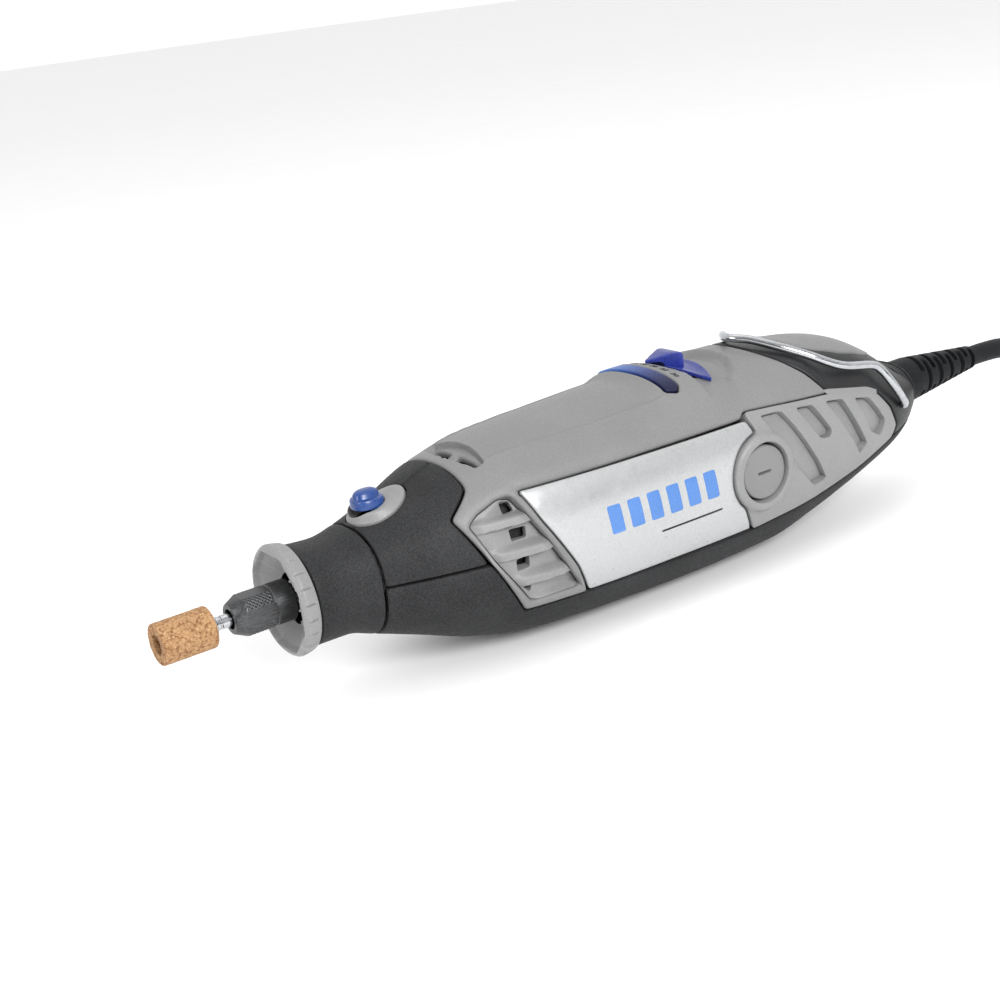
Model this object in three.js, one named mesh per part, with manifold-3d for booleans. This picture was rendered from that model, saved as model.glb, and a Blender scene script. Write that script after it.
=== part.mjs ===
// A mains-powered rotary hobby tool with a grinding stone in its collet, lying on its belly.
// Millimetres, +Z up. Inside the tool group X runs back along the spindle axis from the front
// face of the nose cap, Y is across, and Z is up from the spindle axis.
import * as THREE from "three";
import { mergeVertices } from "three/addons/utils/BufferGeometryUtils.js";
import Module from "manifold-3d";

const wasm = await Module();
wasm.setup();

// ---- driving dimensions ------------------------------------------------------------------
const AXIS_HEIGHT = 26; // spindle axis above the table, and so the depth of the flat belly land
const WALL = 2.2; // housing shell thickness
const GAP = 0.3; // clearance between touching parts
const SECTION_POWER = 2.35; // superellipse power of the housing's cross section

const STONE = { front: -29.1, back: -16.8, radius: 4.68, hole: 2.3, holeDepth: 2.4 };
const SHANK_RADIUS = 1.59;
const NUT = { front: -12.1, back: 2.2, radius: 4.75, mouth: 2.3, taper: 2.6 };
const CAP = { length: 3.6, front: 12.4, back: 13.3, bore: 6.4, thread: 9.8 };
const NECK = { front: 3.9, back: 19.0, bore: 8.9, snout: 9.4 };
const LOCK = { x: 26.9, bezelX: 7.2, bezelY: 6.5, buttonX: 4.3, buttonY: 4.0, top: 18.8, pin: 1.2 };
const COLLAR = { front: 23.4, back: 30.4, radius: 6.2, hole: 1.7, holeFloor: 3.6 };
const SHAFT_RADIUS = 3.9;
const MOTOR_SHAFT_RADIUS = 3.0;
const BODY_END = 189; // rear face of the housing
const BRUSH = { x: 120.2, cap: 6.7, hole: 7.1, boss: 9.5, face: 25.6 };
const SLIDER = { x: 116, centreZ: -14, radius: 39, halfLength: 11, halfWidth: 3.4, tabY: 1.5 };
const SCALE = { front: 101.2, back: 105.8, halfWidth: 13.4 };
const HANGER = { x: 176.5, z: 1.2, wire: 1.1 };
const RELIEF = { flange: 183.6, base: 6.2, tip: 3.3, end: 223.4, straight: 198 };
const CORD_RADIUS = 2.85;
const HANK = { near: 316, far: 368, inner: 14.3, outer: 26, height: 22.4 };
const PLUG = { back: 433, front: 471, y: -10, pinSpacing: 19, pinRadius: 2.0, pinLength: 19 };

const CENTRE_X = (STONE.front + RELIEF.end) / 2;

// Housing outline: distance back from the cap, then half width, height above and depth below.
const OUTLINE = [
  [3.9, 12.0, 11.2, 11.2],
  [12, 11.8, 10.6, 11.4],
  [19, 13.2, 11.8, 13.6],
  [30, 17.2, 15.2, 17.5],
  [42, 20.6, 20.0, 21.9],
  [58, 23.4, 23.2, 25.2],
  [80, 25.0, 24.2, 26.3],
  [105, 25.3, 25.1, 26.9],
  [130, 24.9, 25.0, 26.3],
  [143, 23.9, 24.5, 23.6],
  [155, 22.5, 23.4, 20.4],
  [166, 20.4, 21.0, 17.4],
  [176, 17.7, 16.8, 14.6],
  [183, 14.6, 11.8, 12.2],
  [189, 10.8, 7.4, 8.6],
];

// ---- materials ---------------------------------------------------------------------------
const material = (color, roughness, metalness) =>
  new THREE.MeshStandardMaterial({ color, roughness, metalness });
const BLACK_GRIP = material(0x2a2b2e, 0.7, 0);
const BLACK_PLASTIC = material(0x1c1d20, 0.5, 0);
const GREY_PLASTIC = material(0x9a9c9c, 0.5, 0);
const LIGHT_GREY = material(0xb4b6b6, 0.45, 0);
const SILVER = material(0xd4d7d9, 0.25, 0.3);
const BLUE = material(0x2c3f9e, 0.3, 0);
const STEEL = material(0xc4c6c8, 0.25, 1);
const BLACK_STEEL = material(0x26282a, 0.45, 0.7);
const STONE_GRIT = material(0xc98b55, 0.9, 0);
const COPPER = material(0xb5652e, 0.35, 0.9);
const BRASS = material(0xb39a55, 0.35, 1);
const CARBON = material(0x202020, 0.8, 0.1);
const LAMINATION = material(0x74777a, 0.5, 0.8);
const BOARD = material(0x1f5a34, 0.6, 0);

// ---- solid helpers -----------------------------------------------------------------------
function solid(geometry) {
  const bare = geometry.index ? geometry.toNonIndexed() : geometry.clone();
  bare.deleteAttribute("normal");
  bare.deleteAttribute("uv");
  const merged = mergeVertices(bare, 1e-4);
  const numProp = 3;
  const vertProperties = new Float32Array(merged.attributes.position.array);
  const triVerts = new Uint32Array(dropThin(merged.index.array));
  const made = new wasm.Manifold(new wasm.Mesh({ numProp, vertProperties, triVerts }));
  if (made.volume() > 0) {
    return made;
  }
  const flipped = triVerts.slice();
  for (let i = 0; i < flipped.length; i += 3) {
    [flipped[i], flipped[i + 1]] = [flipped[i + 1], flipped[i]];
  }
  return new wasm.Manifold(new wasm.Mesh({ numProp, vertProperties, triVerts: flipped }));
}

function dropThin(index) {
  const kept = [];
  for (let i = 0; i < index.length; i += 3) {
    const [a, b, c] = [index[i], index[i + 1], index[i + 2]];
    if (a !== b && b !== c && c !== a) {
      kept.push(a, b, c);
    }
  }
  return kept;
}

function geometryOf(manifold) {
  const mesh = manifold.getMesh();
  const geometry = new THREE.BufferGeometry();
  const position = new Float32Array(mesh.vertProperties);
  geometry.setAttribute("position", new THREE.BufferAttribute(position, 3));
  geometry.setIndex(new THREE.BufferAttribute(new Uint32Array(mesh.triVerts), 1));
  return geometry;
}

// A solid of revolution about the spindle axis, from [x, radius] points.
function turned(profile, segments = 20) {
  const points = profile.map(([x, r]) => new THREE.Vector2(r, x));
  const geometry = new THREE.LatheGeometry(points, segments);
  return solid(geometry.rotateZ(-Math.PI / 2));
}

const rod = (x0, x1, r, segments = 16) => turned([[x0, 0], [x0, r], [x1, r], [x1, 0]], segments);

function ring(x0, x1, rIn, rOut, segments = 20) {
  return turned([[x0, rIn], [x0, rOut], [x1, rOut], [x1, rIn], [x0, rIn]], segments);
}

function box(x0, x1, y0, y1, z0, z1) {
  const geometry = new THREE.BoxGeometry(x1 - x0, y1 - y0, z1 - z0);
  return solid(geometry.translate((x0 + x1) / 2, (y0 + y1) / 2, (z0 + z1) / 2));
}

// A side-view outline of [x, z] points, run straight across the tool from y0 to y1.
function across(points, y0 = -60, y1 = 60) {
  const shape = new THREE.Shape(points.map(([x, z]) => new THREE.Vector2(x, z)));
  const geometry = new THREE.ExtrudeGeometry(shape, { depth: y1 - y0, bevelEnabled: false });
  return solid(geometry.rotateX(Math.PI / 2).translate(0, y1, 0));
}

// A plan-view outline of [x, y] points, run straight up from z0 to z1.
function upright(points, z0, z1) {
  const shape = new THREE.Shape(points.map(([x, y]) => new THREE.Vector2(x, y)));
  const geometry = new THREE.ExtrudeGeometry(shape, { depth: z1 - z0, bevelEnabled: false });
  return solid(geometry.translate(0, 0, z0));
}

function ellipse(x, y, a, b, count = 24) {
  return Array.from({ length: count }, (_, i) => {
    const t = (2 * Math.PI * i) / count;
    return [x + a * Math.cos(t), y + b * Math.sin(t)];
  });
}

// Moves each side of an outline outwards by d, with mitred corners.
function grow(points, d) {
  const area = points.reduce((sum, [x, z], i) => {
    const [nx, nz] = points[(i + 1) % points.length];
    return sum + x * nz - nx * z;
  }, 0);
  const side = Math.sign(area) * d;
  return points.map((point, i) => {
    const before = points[(i + points.length - 1) % points.length];
    const after = points[(i + 1) % points.length];
    const a = normalOf(before, point);
    const b = normalOf(point, after);
    const scale = side / (1 + a[0] * b[0] + a[1] * b[1]);
    return [point[0] + (a[0] + b[0]) * scale, point[1] + (a[1] + b[1]) * scale];
  });
}

function normalOf([x0, z0], [x1, z1]) {
  const length = Math.hypot(x1 - x0, z1 - z0);
  return [(z1 - z0) / length, -(x1 - x0) / length];
}

// A bar of round section along a path of points.
function bar(points, radius, steps, sides) {
  const path = new THREE.CatmullRomCurve3(points.map((p) => new THREE.Vector3(...p)));
  const shape = new THREE.Shape(
    ellipse(0, 0, radius, radius, sides).map(([x, y]) => new THREE.Vector2(x, y)),
  );
  return new THREE.ExtrudeGeometry(shape, { steps, bevelEnabled: false, extrudePath: path });
}

// ---- housing shape -----------------------------------------------------------------------
// A smooth value between the outline's stations, with no overshoot.
function along(x, column) {
  const last = OUTLINE.length - 2;
  let i = OUTLINE.findIndex((row) => x < row[0]) - 1;
  i = i < 0 ? (x < OUTLINE[0][0] ? 0 : last) : i;
  const slope = (k) => (OUTLINE[k + 1][column] - OUTLINE[k][column]) / stepAt(k);
  const tangent = (k) => {
    if (k <= 0 || k > last) {
      return slope(k <= 0 ? 0 : last);
    }
    const [a, b] = [slope(k - 1), slope(k)];
    return a * b <= 0 ? 0 : (2 * a * b) / (a + b);
  };
  const h = stepAt(i);
  const t = (x - OUTLINE[i][0]) / h;
  const [p, q] = [OUTLINE[i][column], OUTLINE[i + 1][column]];
  const [m, n] = [tangent(i) * h, tangent(i + 1) * h];
  const rise = q - p;
  return p + t * (m + t * (3 * rise - 2 * m - n + t * (m + n - 2 * rise)));
}

const stepAt = (k) => OUTLINE[k + 1][0] - OUTLINE[k][0];

function section(x, inset, count = 28) {
  const [width, top, bottom] = [1, 2, 3].map((column) => along(x, column) - inset);
  const round = (v) => Math.sign(v) * Math.abs(v) ** (2 / SECTION_POWER);
  return Array.from({ length: count }, (_, i) => {
    const t = (2 * Math.PI * i) / count;
    const y = width * round(Math.cos(t));
    const height = round(Math.sin(t));
    const z = height > 0 ? height * top : Math.max(height * bottom, inset - AXIS_HEIGHT);
    return [x, y, z];
  });
}

// The housing's outer form between x0 and x1, drawn in by inset.
function bodyForm(x0, x1, inset) {
  const inner = OUTLINE.map((row) => row[0]).filter((x) => x > x0 + 0.5 && x < x1 - 0.5);
  const rings = [x0, ...inner, x1].map((x) => section(x, inset));
  const count = rings[0].length;
  const position = rings.flat(2);
  const index = [];
  for (let r = 0; r + 1 < rings.length; r += 1) {
    for (let i = 0; i < count; i += 1) {
      const j = (i + 1) % count;
      const [a, b] = [r * count + i, r * count + j];
      index.push(a, b, a + count, b, b + count, a + count);
    }
  }
  const back = (rings.length - 1) * count;
  for (let i = 1; i + 1 < count; i += 1) {
    index.push(0, i + 1, i, back, back + i, back + i + 1);
  }
  const geometry = new THREE.BufferGeometry();
  geometry.setAttribute("position", new THREE.Float32BufferAttribute(position, 3));
  geometry.setIndex(index);
  return solid(geometry);
}

// Side-view outlines that divide the shell into its parts.
const UPPER_REGION = [
  [42.5, 40], [42.5, 16.5], [36.2, 11.3], [50.4, -14.5], [118, -15], [140, -13.2],
  [157.5, -10.6], [172.3, -7], [174.4, -3.5], [171, 2.8], [166, 7.6], [161.5, 9.7],
  [147, 12.9], [142.8, 18.4], [139, 21.8], [134.5, 25.5], [134.5, 40],
];
const PLATE_REGION = [
  [52.6, 14.2], [56, 6.7], [60.2, -0.4], [63.8, -6.6], [67.2, -14.62], [117.4, -15],
  ...bossArc(), [117.38, 13.7],
];
const GRILLE_REGION = [[41.5, 9.6], [52.6, 11.2], [57.6, 0], [64.2, -12.4], [51.5, -12.6]];
const PANEL_REGION = [
  [117.4, -15], ...bossArc(), [118.4, 15.3], [128.5, 14.4], [147, 12.5], [161.5, 9.3],
  [166, 7.2], [170.6, 2.5], [173.9, -3.6], [172.3, -7], [157.5, -10.6], [140, -13.2],
];
const COVER_REGION = [[130, 40], [130, -6.6], [172, -6.6], [200, -4.6], [200, 40]];
const LOWER_REGION = [
  [19.3, -0.15], [100, -0.15], [100, -6.9], [172, -6.9], [200, -4.9], [200, -40], [19.3, -40],
];
const HUMP_REGION = [
  [143, 0], [147.5, 6.5], [153, 11.2], [161, 13.2], [170, 12.2], [177, 8.5], [180, 0],
  [177, -8.5], [170, -12.2], [161, -13.2], [153, -11.2], [147.5, -6.5],
];

// The round edge that the plate and the rear panel share in front of the brush cap.
function bossArc() {
  const radius = BRUSH.boss + GAP;
  return [232, 209, 186, 163, 140].map((degrees) => {
    const t = (degrees * Math.PI) / 180;
    return [BRUSH.x + radius * Math.cos(t), radius * Math.sin(t)];
  });
}

const half = (side) => (side < 0 ? box(-50, 400, -80, 0, -80, 80) : box(-50, 400, 0, 80, -80, 80));
const outer = bodyForm(NECK.back + GAP, BODY_END, 0);
const shell = outer.subtract(bodyForm(NECK.back - 1, BODY_END - WALL, WALL));

// A disc lying in a plane across the tool's side, from |y| = y0 to y1 on the given side.
function sideDisc(radius, y0, y1, side, segments = 20) {
  const geometry = new THREE.CylinderGeometry(radius, radius, y1 - y0, segments);
  return solid(geometry.translate(BRUSH.x, (side * (y0 + y1)) / 2, 0));
}

function slits(list) {
  return list.map(([x0, x1, z0, z1]) => box(x0, x1, -60, 60, z0, z1)).reduce((a, b) => a.add(b));
}

// ---- housing parts -----------------------------------------------------------------------
function upperHousing() {
  const windows = [PLATE_REGION, PANEL_REGION]
    .map((region) => across(grow(region, GAP / 2)))
    .reduce((a, b) => a.add(b))
    .add(across(grow(GRILLE_REGION, GAP / 2)));
  const track = upright(ellipse(SLIDER.x, 0, 7.6, 18), 15, 40);
  const floor = rod(90, 150, SLIDER.radius - 0.6, 40).translate(0, 0, SLIDER.centreZ);
  const recess = track.subtract(floor);
  const slot = box(SLIDER.x - 1.6, SLIDER.x + 1.6, -8.5, 8.5, 15, 40);
  const vents = box(45.4, 49.6, 1.6, 10, 10, 40).add(box(45.4, 49.6, -10, -1.6, 10, 40));
  const pad = outer.subtract(bodyForm(90, 120, 0.65)).intersect(scaleBlock(GAP));
  return shell
    .intersect(across(grow(UPPER_REGION, -GAP / 2)))
    .subtract(windows)
    .subtract(recess)
    .subtract(slot)
    .subtract(vents)
    .subtract(pad)
    .subtract(box(117, 200, -60, 60, -30, 8));
}

function scaleBlock(extra) {
  const { front, back, halfWidth } = SCALE;
  return box(front - extra, back + extra, -halfWidth - extra, halfWidth + extra, 0, 60);
}

function speedScale() {
  return bodyForm(98, 110, 0.02).subtract(bodyForm(97, 111, 0.35)).intersect(scaleBlock(0));
}

function gripUpper() {
  const region = [[19.3, 0.15], [60, 0.15], [60, 40], [19.3, 40]];
  return shell
    .intersect(across(region))
    .subtract(across(grow(UPPER_REGION, GAP / 2)))
    .subtract(upright(ellipse(LOCK.x, 0, LOCK.bezelX + GAP, LOCK.bezelY + GAP), 0, 40));
}

function lowerHousing() {
  return shell
    .intersect(across(LOWER_REGION))
    .subtract(across(grow(UPPER_REGION, GAP / 2)))
    .subtract(rod(BODY_END - 10, BODY_END + 5, RELIEF.base + GAP));
}

function rearCover() {
  const pivotHoles = new THREE.CylinderGeometry(HANGER.wire + 0.4, HANGER.wire + 0.4, 80, 12);
  return shell
    .intersect(across(COVER_REGION))
    .subtract(across(grow(UPPER_REGION, GAP / 2)))
    .subtract(upright(grow(HUMP_REGION, GAP / 2), 3, 60))
    .subtract(rod(BODY_END - 10, BODY_END + 5, RELIEF.base + GAP))
    .subtract(solid(pivotHoles.translate(HANGER.x, 0, HANGER.z)));
}

const rearTopCover = () => shell.intersect(upright(grow(HUMP_REGION, -GAP / 2), 3, 60));

const sidePlate = (side) =>
  shell.intersect(across(grow(PLATE_REGION, -GAP / 2))).intersect(half(side));

function frontGrille(side) {
  const holes = slits([[47.6, 50.8, 5.6, 8.6], [48.8, 52, 0, 3], [50, 53.2, -5.6, -3], [52, 55, -10.6, -8.6]]);
  return shell.intersect(across(grow(GRILLE_REGION, -GAP / 2))).intersect(half(side)).subtract(holes);
}

function rearPanel(side) {
  const holes = slits([[134.5, 136.5, -1, 9], [146.5, 148.5, -2, 8]]);
  const boss = sideDisc(BRUSH.boss, 21, BRUSH.face, side, 28);
  return shell
    .intersect(across(grow(PANEL_REGION, -GAP / 2)))
    .intersect(half(side))
    .subtract(holes)
    .add(boss)
    .subtract(sideDisc(BRUSH.hole, 15, 40, side, 24));
}

function noseCap() {
  const { length, front, back, bore, thread } = CAP;
  return turned(
    [
      [0, bore], [0, front - 0.6], [0.6, front], [length, back], [length, thread],
      [1.4, thread], [1.4, bore], [0, bore],
    ],
    32,
  );
}

function neckHousing() {
  return bodyForm(NECK.front, NECK.back, 0)
    .add(rod(1.8, NECK.front + 2, NECK.snout, 28))
    .subtract(rod(0, NECK.back + 1, NECK.bore, 28));
}

// ---- spindle lock ------------------------------------------------------------------------
function lockBezel() {
  return bodyForm(18, 36, -0.9)
    .subtract(bodyForm(17, 37, WALL))
    .intersect(upright(ellipse(LOCK.x, 0, LOCK.bezelX, LOCK.bezelY), 0, 40))
    .subtract(upright(ellipse(LOCK.x, 0, LOCK.buttonX + GAP, LOCK.buttonY + GAP), 0, 40));
}

function lockButton() {
  const { x, buttonX, buttonY, top } = LOCK;
  return upright(ellipse(x, 0, buttonX, buttonY), 10, top - 1.6)
    .add(upright(ellipse(x, 0, buttonX * 0.8, buttonY * 0.62), 12, top))
    .subtract(upright(ellipse(x, 0, 3.2, 3.2, 16), 9, 15));
}

const lockPin = () => upright(ellipse(LOCK.x, 0, LOCK.pin, LOCK.pin, 12), 6.5, 14.7);

const lockGuide = () =>
  box(23, 31, -9.5, 9.5, 6.5, 7.3).subtract(upright(ellipse(LOCK.x, 0, 1.5, 1.5, 12), 5, 9));

function lockSpring() {
  const [turns, perTurn, radius, wire] = [4, 7, 2.5, 0.35];
  const points = Array.from({ length: turns * perTurn + 1 }, (_, i) => {
    const t = (2 * Math.PI * i) / perTurn;
    return [LOCK.x + radius * Math.cos(t), radius * Math.sin(t), 8 + (3.9 * i) / (turns * perTurn)];
  });
  return solid(bar(points, wire, turns * perTurn, 4));
}

// ---- spindle, collet and bit -------------------------------------------------------------
function grindingStone() {
  const { front, back, radius, hole, holeDepth } = STONE;
  const floor = front + holeDepth;
  const profile = [
    [floor, 0], [floor, hole], [front, hole], [front, radius - 0.3], [front + 0.3, radius],
    [back - 0.3, radius], [back, radius - 0.3], [back, 0],
  ];
  return turned(profile, 24);
}

const bitShank = () => rod(STONE.back + GAP, 9, SHANK_RADIUS, 14);

function colletNut() {
  const { front, back, radius, mouth, taper } = NUT;
  const profile = [
    [front, mouth], [front, mouth + 0.6], [front + taper, radius], [back, radius], [back, 3.5],
    [-9.2, 3.5], [-9.2, mouth], [front, mouth],
  ];
  const flats = [0, 1, 2, 3]
    .map((i) => solid(new THREE.BoxGeometry(9.6, 4, 12)
      .translate(NUT.front + 4.8, radius + 1.55, 0).rotateX((i * Math.PI) / 2)))
    .reduce((a, b) => a.add(b));
  return turned(profile, 24).subtract(flats);
}

function collet() {
  const body = turned(
    [[-8.9, 1.9], [-8.9, 2.3], [-6.8, 2.6], [7, 2.2], [7, 1.9], [-8.9, 1.9]], 16);
  return body.subtract(box(-10, 2, -3, 3, -0.25, 0.25)).subtract(box(-10, 2, -0.25, 0.25, -3, 3));
}

function spindle() {
  const bore = rod(-10, 10, 2.9, 16);
  const holes = upright(ellipse(LOCK.x, 0, COLLAR.hole, COLLAR.hole, 8), COLLAR.holeFloor, 9);
  const turnedHoles = [0, 90, 180, 270].map((a) => holes.rotate([a, 0, 0]));
  return turned([
    [-6, 0], [-6, 3.2], [4.2, 3.2], [4.2, SHAFT_RADIUS], [COLLAR.front, SHAFT_RADIUS],
    [COLLAR.front, COLLAR.radius], [COLLAR.back, COLLAR.radius], [COLLAR.back, SHAFT_RADIUS],
    [48, SHAFT_RADIUS], [48, 0],
  ], 16).subtract(bore).subtract(turnedHoles.reduce((a, b) => a.add(b)));
}

function coupling() {
  return turned([
    [43.5, SHAFT_RADIUS + GAP], [43.5, 6.4], [54.5, 6.4], [54.5, MOTOR_SHAFT_RADIUS + GAP],
    [48.6, MOTOR_SHAFT_RADIUS + GAP], [48.6, SHAFT_RADIUS + GAP], [43.5, SHAFT_RADIUS + GAP],
  ]);
}

// ---- motor -------------------------------------------------------------------------------
const motorShaft = () => rod(49.2, 142, MOTOR_SHAFT_RADIUS);

function coolingFan() {
  const bore = MOTOR_SHAFT_RADIUS + GAP;
  const blades = Array.from({ length: 9 }, (_, i) =>
    solid(new THREE.BoxGeometry(5, 1.2, 10.5).translate(59.5, 0, 12)
      .rotateX((2 * Math.PI * i) / 9)));
  return blades.reduce((a, b) => a.add(b), ring(57, 66, bore, 5.4, 14)).add(ring(61.4, 62.6, bore, 17.6, 20));
}

function armatureCore() {
  const slots = Array.from({ length: 8 }, (_, i) =>
    solid(new THREE.BoxGeometry(40, 1.8, 5).translate(92, 0, 11.4)
      .rotateX((2 * Math.PI * (i + 0.5)) / 8)));
  const core = ring(78, 106, MOTOR_SHAFT_RADIUS + GAP, 12.6, 32);
  return slots.reduce((a, b) => a.subtract(b), core);
}

function winding(x0, x1) {
  const [rIn, rOut, middle] = [MOTOR_SHAFT_RADIUS + GAP, 11.2, (x0 + x1) / 2];
  return turned([
    [x0 + 1.2, rIn], [x0, rIn + 2], [x0, rOut - 2.2], [middle, rOut], [x1, rOut - 2.2],
    [x1, rIn + 2], [x1 - 1.2, rIn], [x0 + 1.2, rIn],
  ]);
}

const POLE_HALF_ANGLE = 48;

// A sector of a ring about the spindle axis, centred on the given angle.
function sector(x0, x1, rIn, rOut, centre, halfAngle) {
  const at = (r, degrees) => {
    const t = (degrees * Math.PI) / 180;
    return new THREE.Vector2(r * Math.cos(t), r * Math.sin(t));
  };
  const steps = [-1, -0.5, 0, 0.5, 1].map((s) => centre + s * halfAngle);
  const rim = [...steps.map((a) => at(rOut, a)), ...steps.reverse().map((a) => at(rIn, a))];
  const shape = new THREE.Shape(rim);
  const geometry = new THREE.ExtrudeGeometry(shape, { depth: x1 - x0, bevelEnabled: false });
  return solid(geometry.rotateX(Math.PI / 2).rotateZ(Math.PI / 2).translate(x0, 0, 0));
}

function fieldCore() {
  const pockets = [90, 270].map((a) => sector(70, 115, 13, 17.2, a, POLE_HALF_ANGLE));
  return pockets.reduce((a, b) => a.subtract(b), ring(78, 106, 13.2, 20, 32));
}

const fieldCoil = (centre) => sector(73.6, 110.4, 13.6, 16.8, centre, POLE_HALF_ANGLE - 3);

const commutator = () => ring(115, 127, MOTOR_SHAFT_RADIUS + GAP, 7.2, 24);

function brushBlock(side, halfX, halfZ, y0, y1) {
  const [a, b] = side < 0 ? [-y1, -y0] : [y0, y1];
  return box(BRUSH.x - halfX, BRUSH.x + halfX, a, b, -halfZ, halfZ);
}

const carbonBrush = (side) => brushBlock(side, 2.9, 2.4, 7.6, 15);

const brushHolder = (side) =>
  brushBlock(side, 4.2, 3.7, 9, 21.8).subtract(brushBlock(side, 3.2, 2.7, 8, 23));

function brushSpring(side) {
  const [turns, perTurn, radius, wire] = [5, 6, 1.9, 0.3];
  const points = Array.from({ length: turns * perTurn + 1 }, (_, i) => {
    const t = (2 * Math.PI * i) / perTurn;
    const y = side * (15.7 + (5.4 * i) / (turns * perTurn));
    return [BRUSH.x + radius * Math.cos(t), y, radius * Math.sin(t)];
  });
  return solid(bar(points, wire, turns * perTurn, 4));
}

function brushCap(side) {
  const slot = sideDisc(2.6, 24.4, 26, side).intersect(box(110, 130, -30, 30, -0.6, 0.6));
  return sideDisc(BRUSH.cap, 22.4, 25.2, side, 28).subtract(slot);
}

// ---- electrics ---------------------------------------------------------------------------
const controlBoard = () => box(112, 132, -12, 12, 12.6, 14.2);
const speedSwitch = () => box(111.4, 122, -11, 11, 14.6, 18.8);

function speedSlider() {
  const { x, centreZ, radius, halfLength, halfWidth, tabY } = SLIDER;
  const strip = ring(x - 10, x + 10, radius - 0.3, radius + 0.6, 48).translate(0, 0, centreZ);
  const lens = upright(ellipse(x, 0, halfWidth, halfLength, 20), 15, 40);
  const tab = across([[x - 3, 25.2], [x + 3.4, 25.2], [x + 2.4, 28.6], [x - 1, 28.6]], tabY - 3, tabY + 3);
  const stem = box(x - 1.2, x + 1.2, -2.5, 2.5, 19.8, 25.2);
  return strip.intersect(lens).add(tab).add(stem);
}

const cordClamp = () =>
  box(166, 174, -9, 9, -7, -3.4).add(box(166, 174, -9, -6, -3.4, 3)).add(box(166, 174, 6, 9, -3.4, 3));

function strainRelief() {
  const { flange, base, tip, end, straight } = RELIEF;
  const profile = [[flange, 0], [flange, base + 0.9], [186.4, base + 0.9], [186.4, base], [straight, base]];
  const count = 5;
  const pitch = (end - straight) / count;
  for (let i = 0; i < count; i += 1) {
    const x = straight + i * pitch;
    const rib = base + ((tip + 0.3 - base) * (i + 0.5)) / count;
    profile.push([x + 0.3, rib - 0.9], [x + 1.6, rib - 0.9], [x + 1.9, rib], [x + pitch, rib - 0.3]);
  }
  profile.push([end, 0]);
  return turned(profile, 12);
}

// ---- hanger ------------------------------------------------------------------------------
function hanger() {
  const near = [
    [HANGER.x, -15.6, HANGER.z], [HANGER.x, -18.2, HANGER.z], [176, -19.3, 2.2],
    [173.4, -19.9, 5.8], [170.4, -19.2, 10.3], [168.6, -18.3, 12.9], [165.8, -18.1, 14.6],
    [156.5, -18.9, 16.8], [151.6, -18.1, 18.7], [146.6, -15.3, 21.6], [141.7, -11.2, 24.2],
    [137, -5.4, 26.6], [134.6, -2.4, 27.2],
  ];
  const far = near.map(([x, y, z]) => [x, -y, z]).reverse();
  return solid(bar([...near, [133.7, 0, 27.3], ...far], HANGER.wire, 52, 6));
}

// ---- screws ------------------------------------------------------------------------------
// A socket screw let into the belly from below, with its head flush in the land.
function housingScrew(x, y) {
  const head = upright(ellipse(x, y, 2.4, 2.4, 12), -25.2, -23.6);
  const stem = upright(ellipse(x, y, 1.2, 1.2, 10), -24, -17.5);
  const socket = upright(ellipse(x, y, 1.1, 1.1, 6), -26, -24.5);
  return head.add(stem).subtract(socket);
}

const SCREWS = [[70, 0], [130, 0]];

function screwHoles(part) {
  return SCREWS.reduce(
    (a, [x, y]) => a
      .subtract(upright(ellipse(x, y, 2.7, 2.7, 12), -30, -20)),
    part,
  );
}

// ---- cord and plug -----------------------------------------------------------------------
const FLOOR_Z = CORD_RADIUS - AXIS_HEIGHT;

// The cord's route from the strain relief to its hank, as points on its centre line.
const CORD_ROUTE = [
  [223.7, 0, 0], [230, 0, -0.1], [237, 0, -0.6], [244, -0.4, -2.2], [251, -1.3, -5.1],
  [258, -2.8, -9.1], [265, -5, -13.6], [272, -7.8, -17.8], [279, -10.9, -21],
  [286, -14, -22.8], [291.6, -16.4, FLOOR_Z],
];
// From the hank's top run down to the plug.
const TAIL_ROUTE = [
  [385.6, -22.7, -7.3], [393, -21.6, -9.2], [400, -19.8, -11.8], [407, -17.4, -14.5],
  [414, -14.6, -16.8], [421, -11.9, -18.4], [427, -10.3, -18.8], [PLUG.back - 2 * GAP, -10, -18.8],
];
const PLUG_Z = -18.8;

const cordTube = (route, steps) => solid(bar(route, CORD_RADIUS, steps, 10));

// A plan with two straight sides along X and a half circle at each end.
function stadium(near, far, radius) {
  return Array.from({ length: 26 }, (_, i) => {
    const end = i < 13 ? far : near;
    const turn = -Math.PI / 2 + ((i < 13 ? i : i - 1) * Math.PI) / 12;
    return [end + radius * Math.cos(turn), radius * Math.sin(turn)];
  });
}

function cordHank() {
  const { near, far, inner, outer: rim, height } = HANK;
  return upright(stadium(near, far, rim), -AXIS_HEIGHT, height - AXIS_HEIGHT)
    .subtract(upright(stadium(near, far, inner), -AXIS_HEIGHT - 1, height - AXIS_HEIGHT + 1));
}

function plugBody() {
  const { front, back, y } = PLUG;
  const plan = [
    [back, y - 4], [front - 27, y - 7], [front - 15, y - 15.5], [front, y - 15.5],
    [front, y + 15.5], [front - 15, y + 15.5], [front - 27, y + 7], [back, y + 4],
  ];
  return upright(plan, PLUG_Z - 7.1, PLUG_Z + 7.1);
}

function plugPin(side) {
  const { front, y, pinSpacing, pinRadius, pinLength } = PLUG;
  return rod(front + GAP, front + pinLength, pinRadius, 12)
    .translate(0, y + (side * pinSpacing) / 2, PLUG_Z);
}

// ---- assembly ----------------------------------------------------------------------------
const tool = new THREE.Group();
tool.position.set(-CENTRE_X, 0, AXIS_HEIGHT);

function add(name, body, look) {
  const mesh = new THREE.Mesh(geometryOf(body), look);
  mesh.name = name;
  tool.add(mesh);
}

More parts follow.
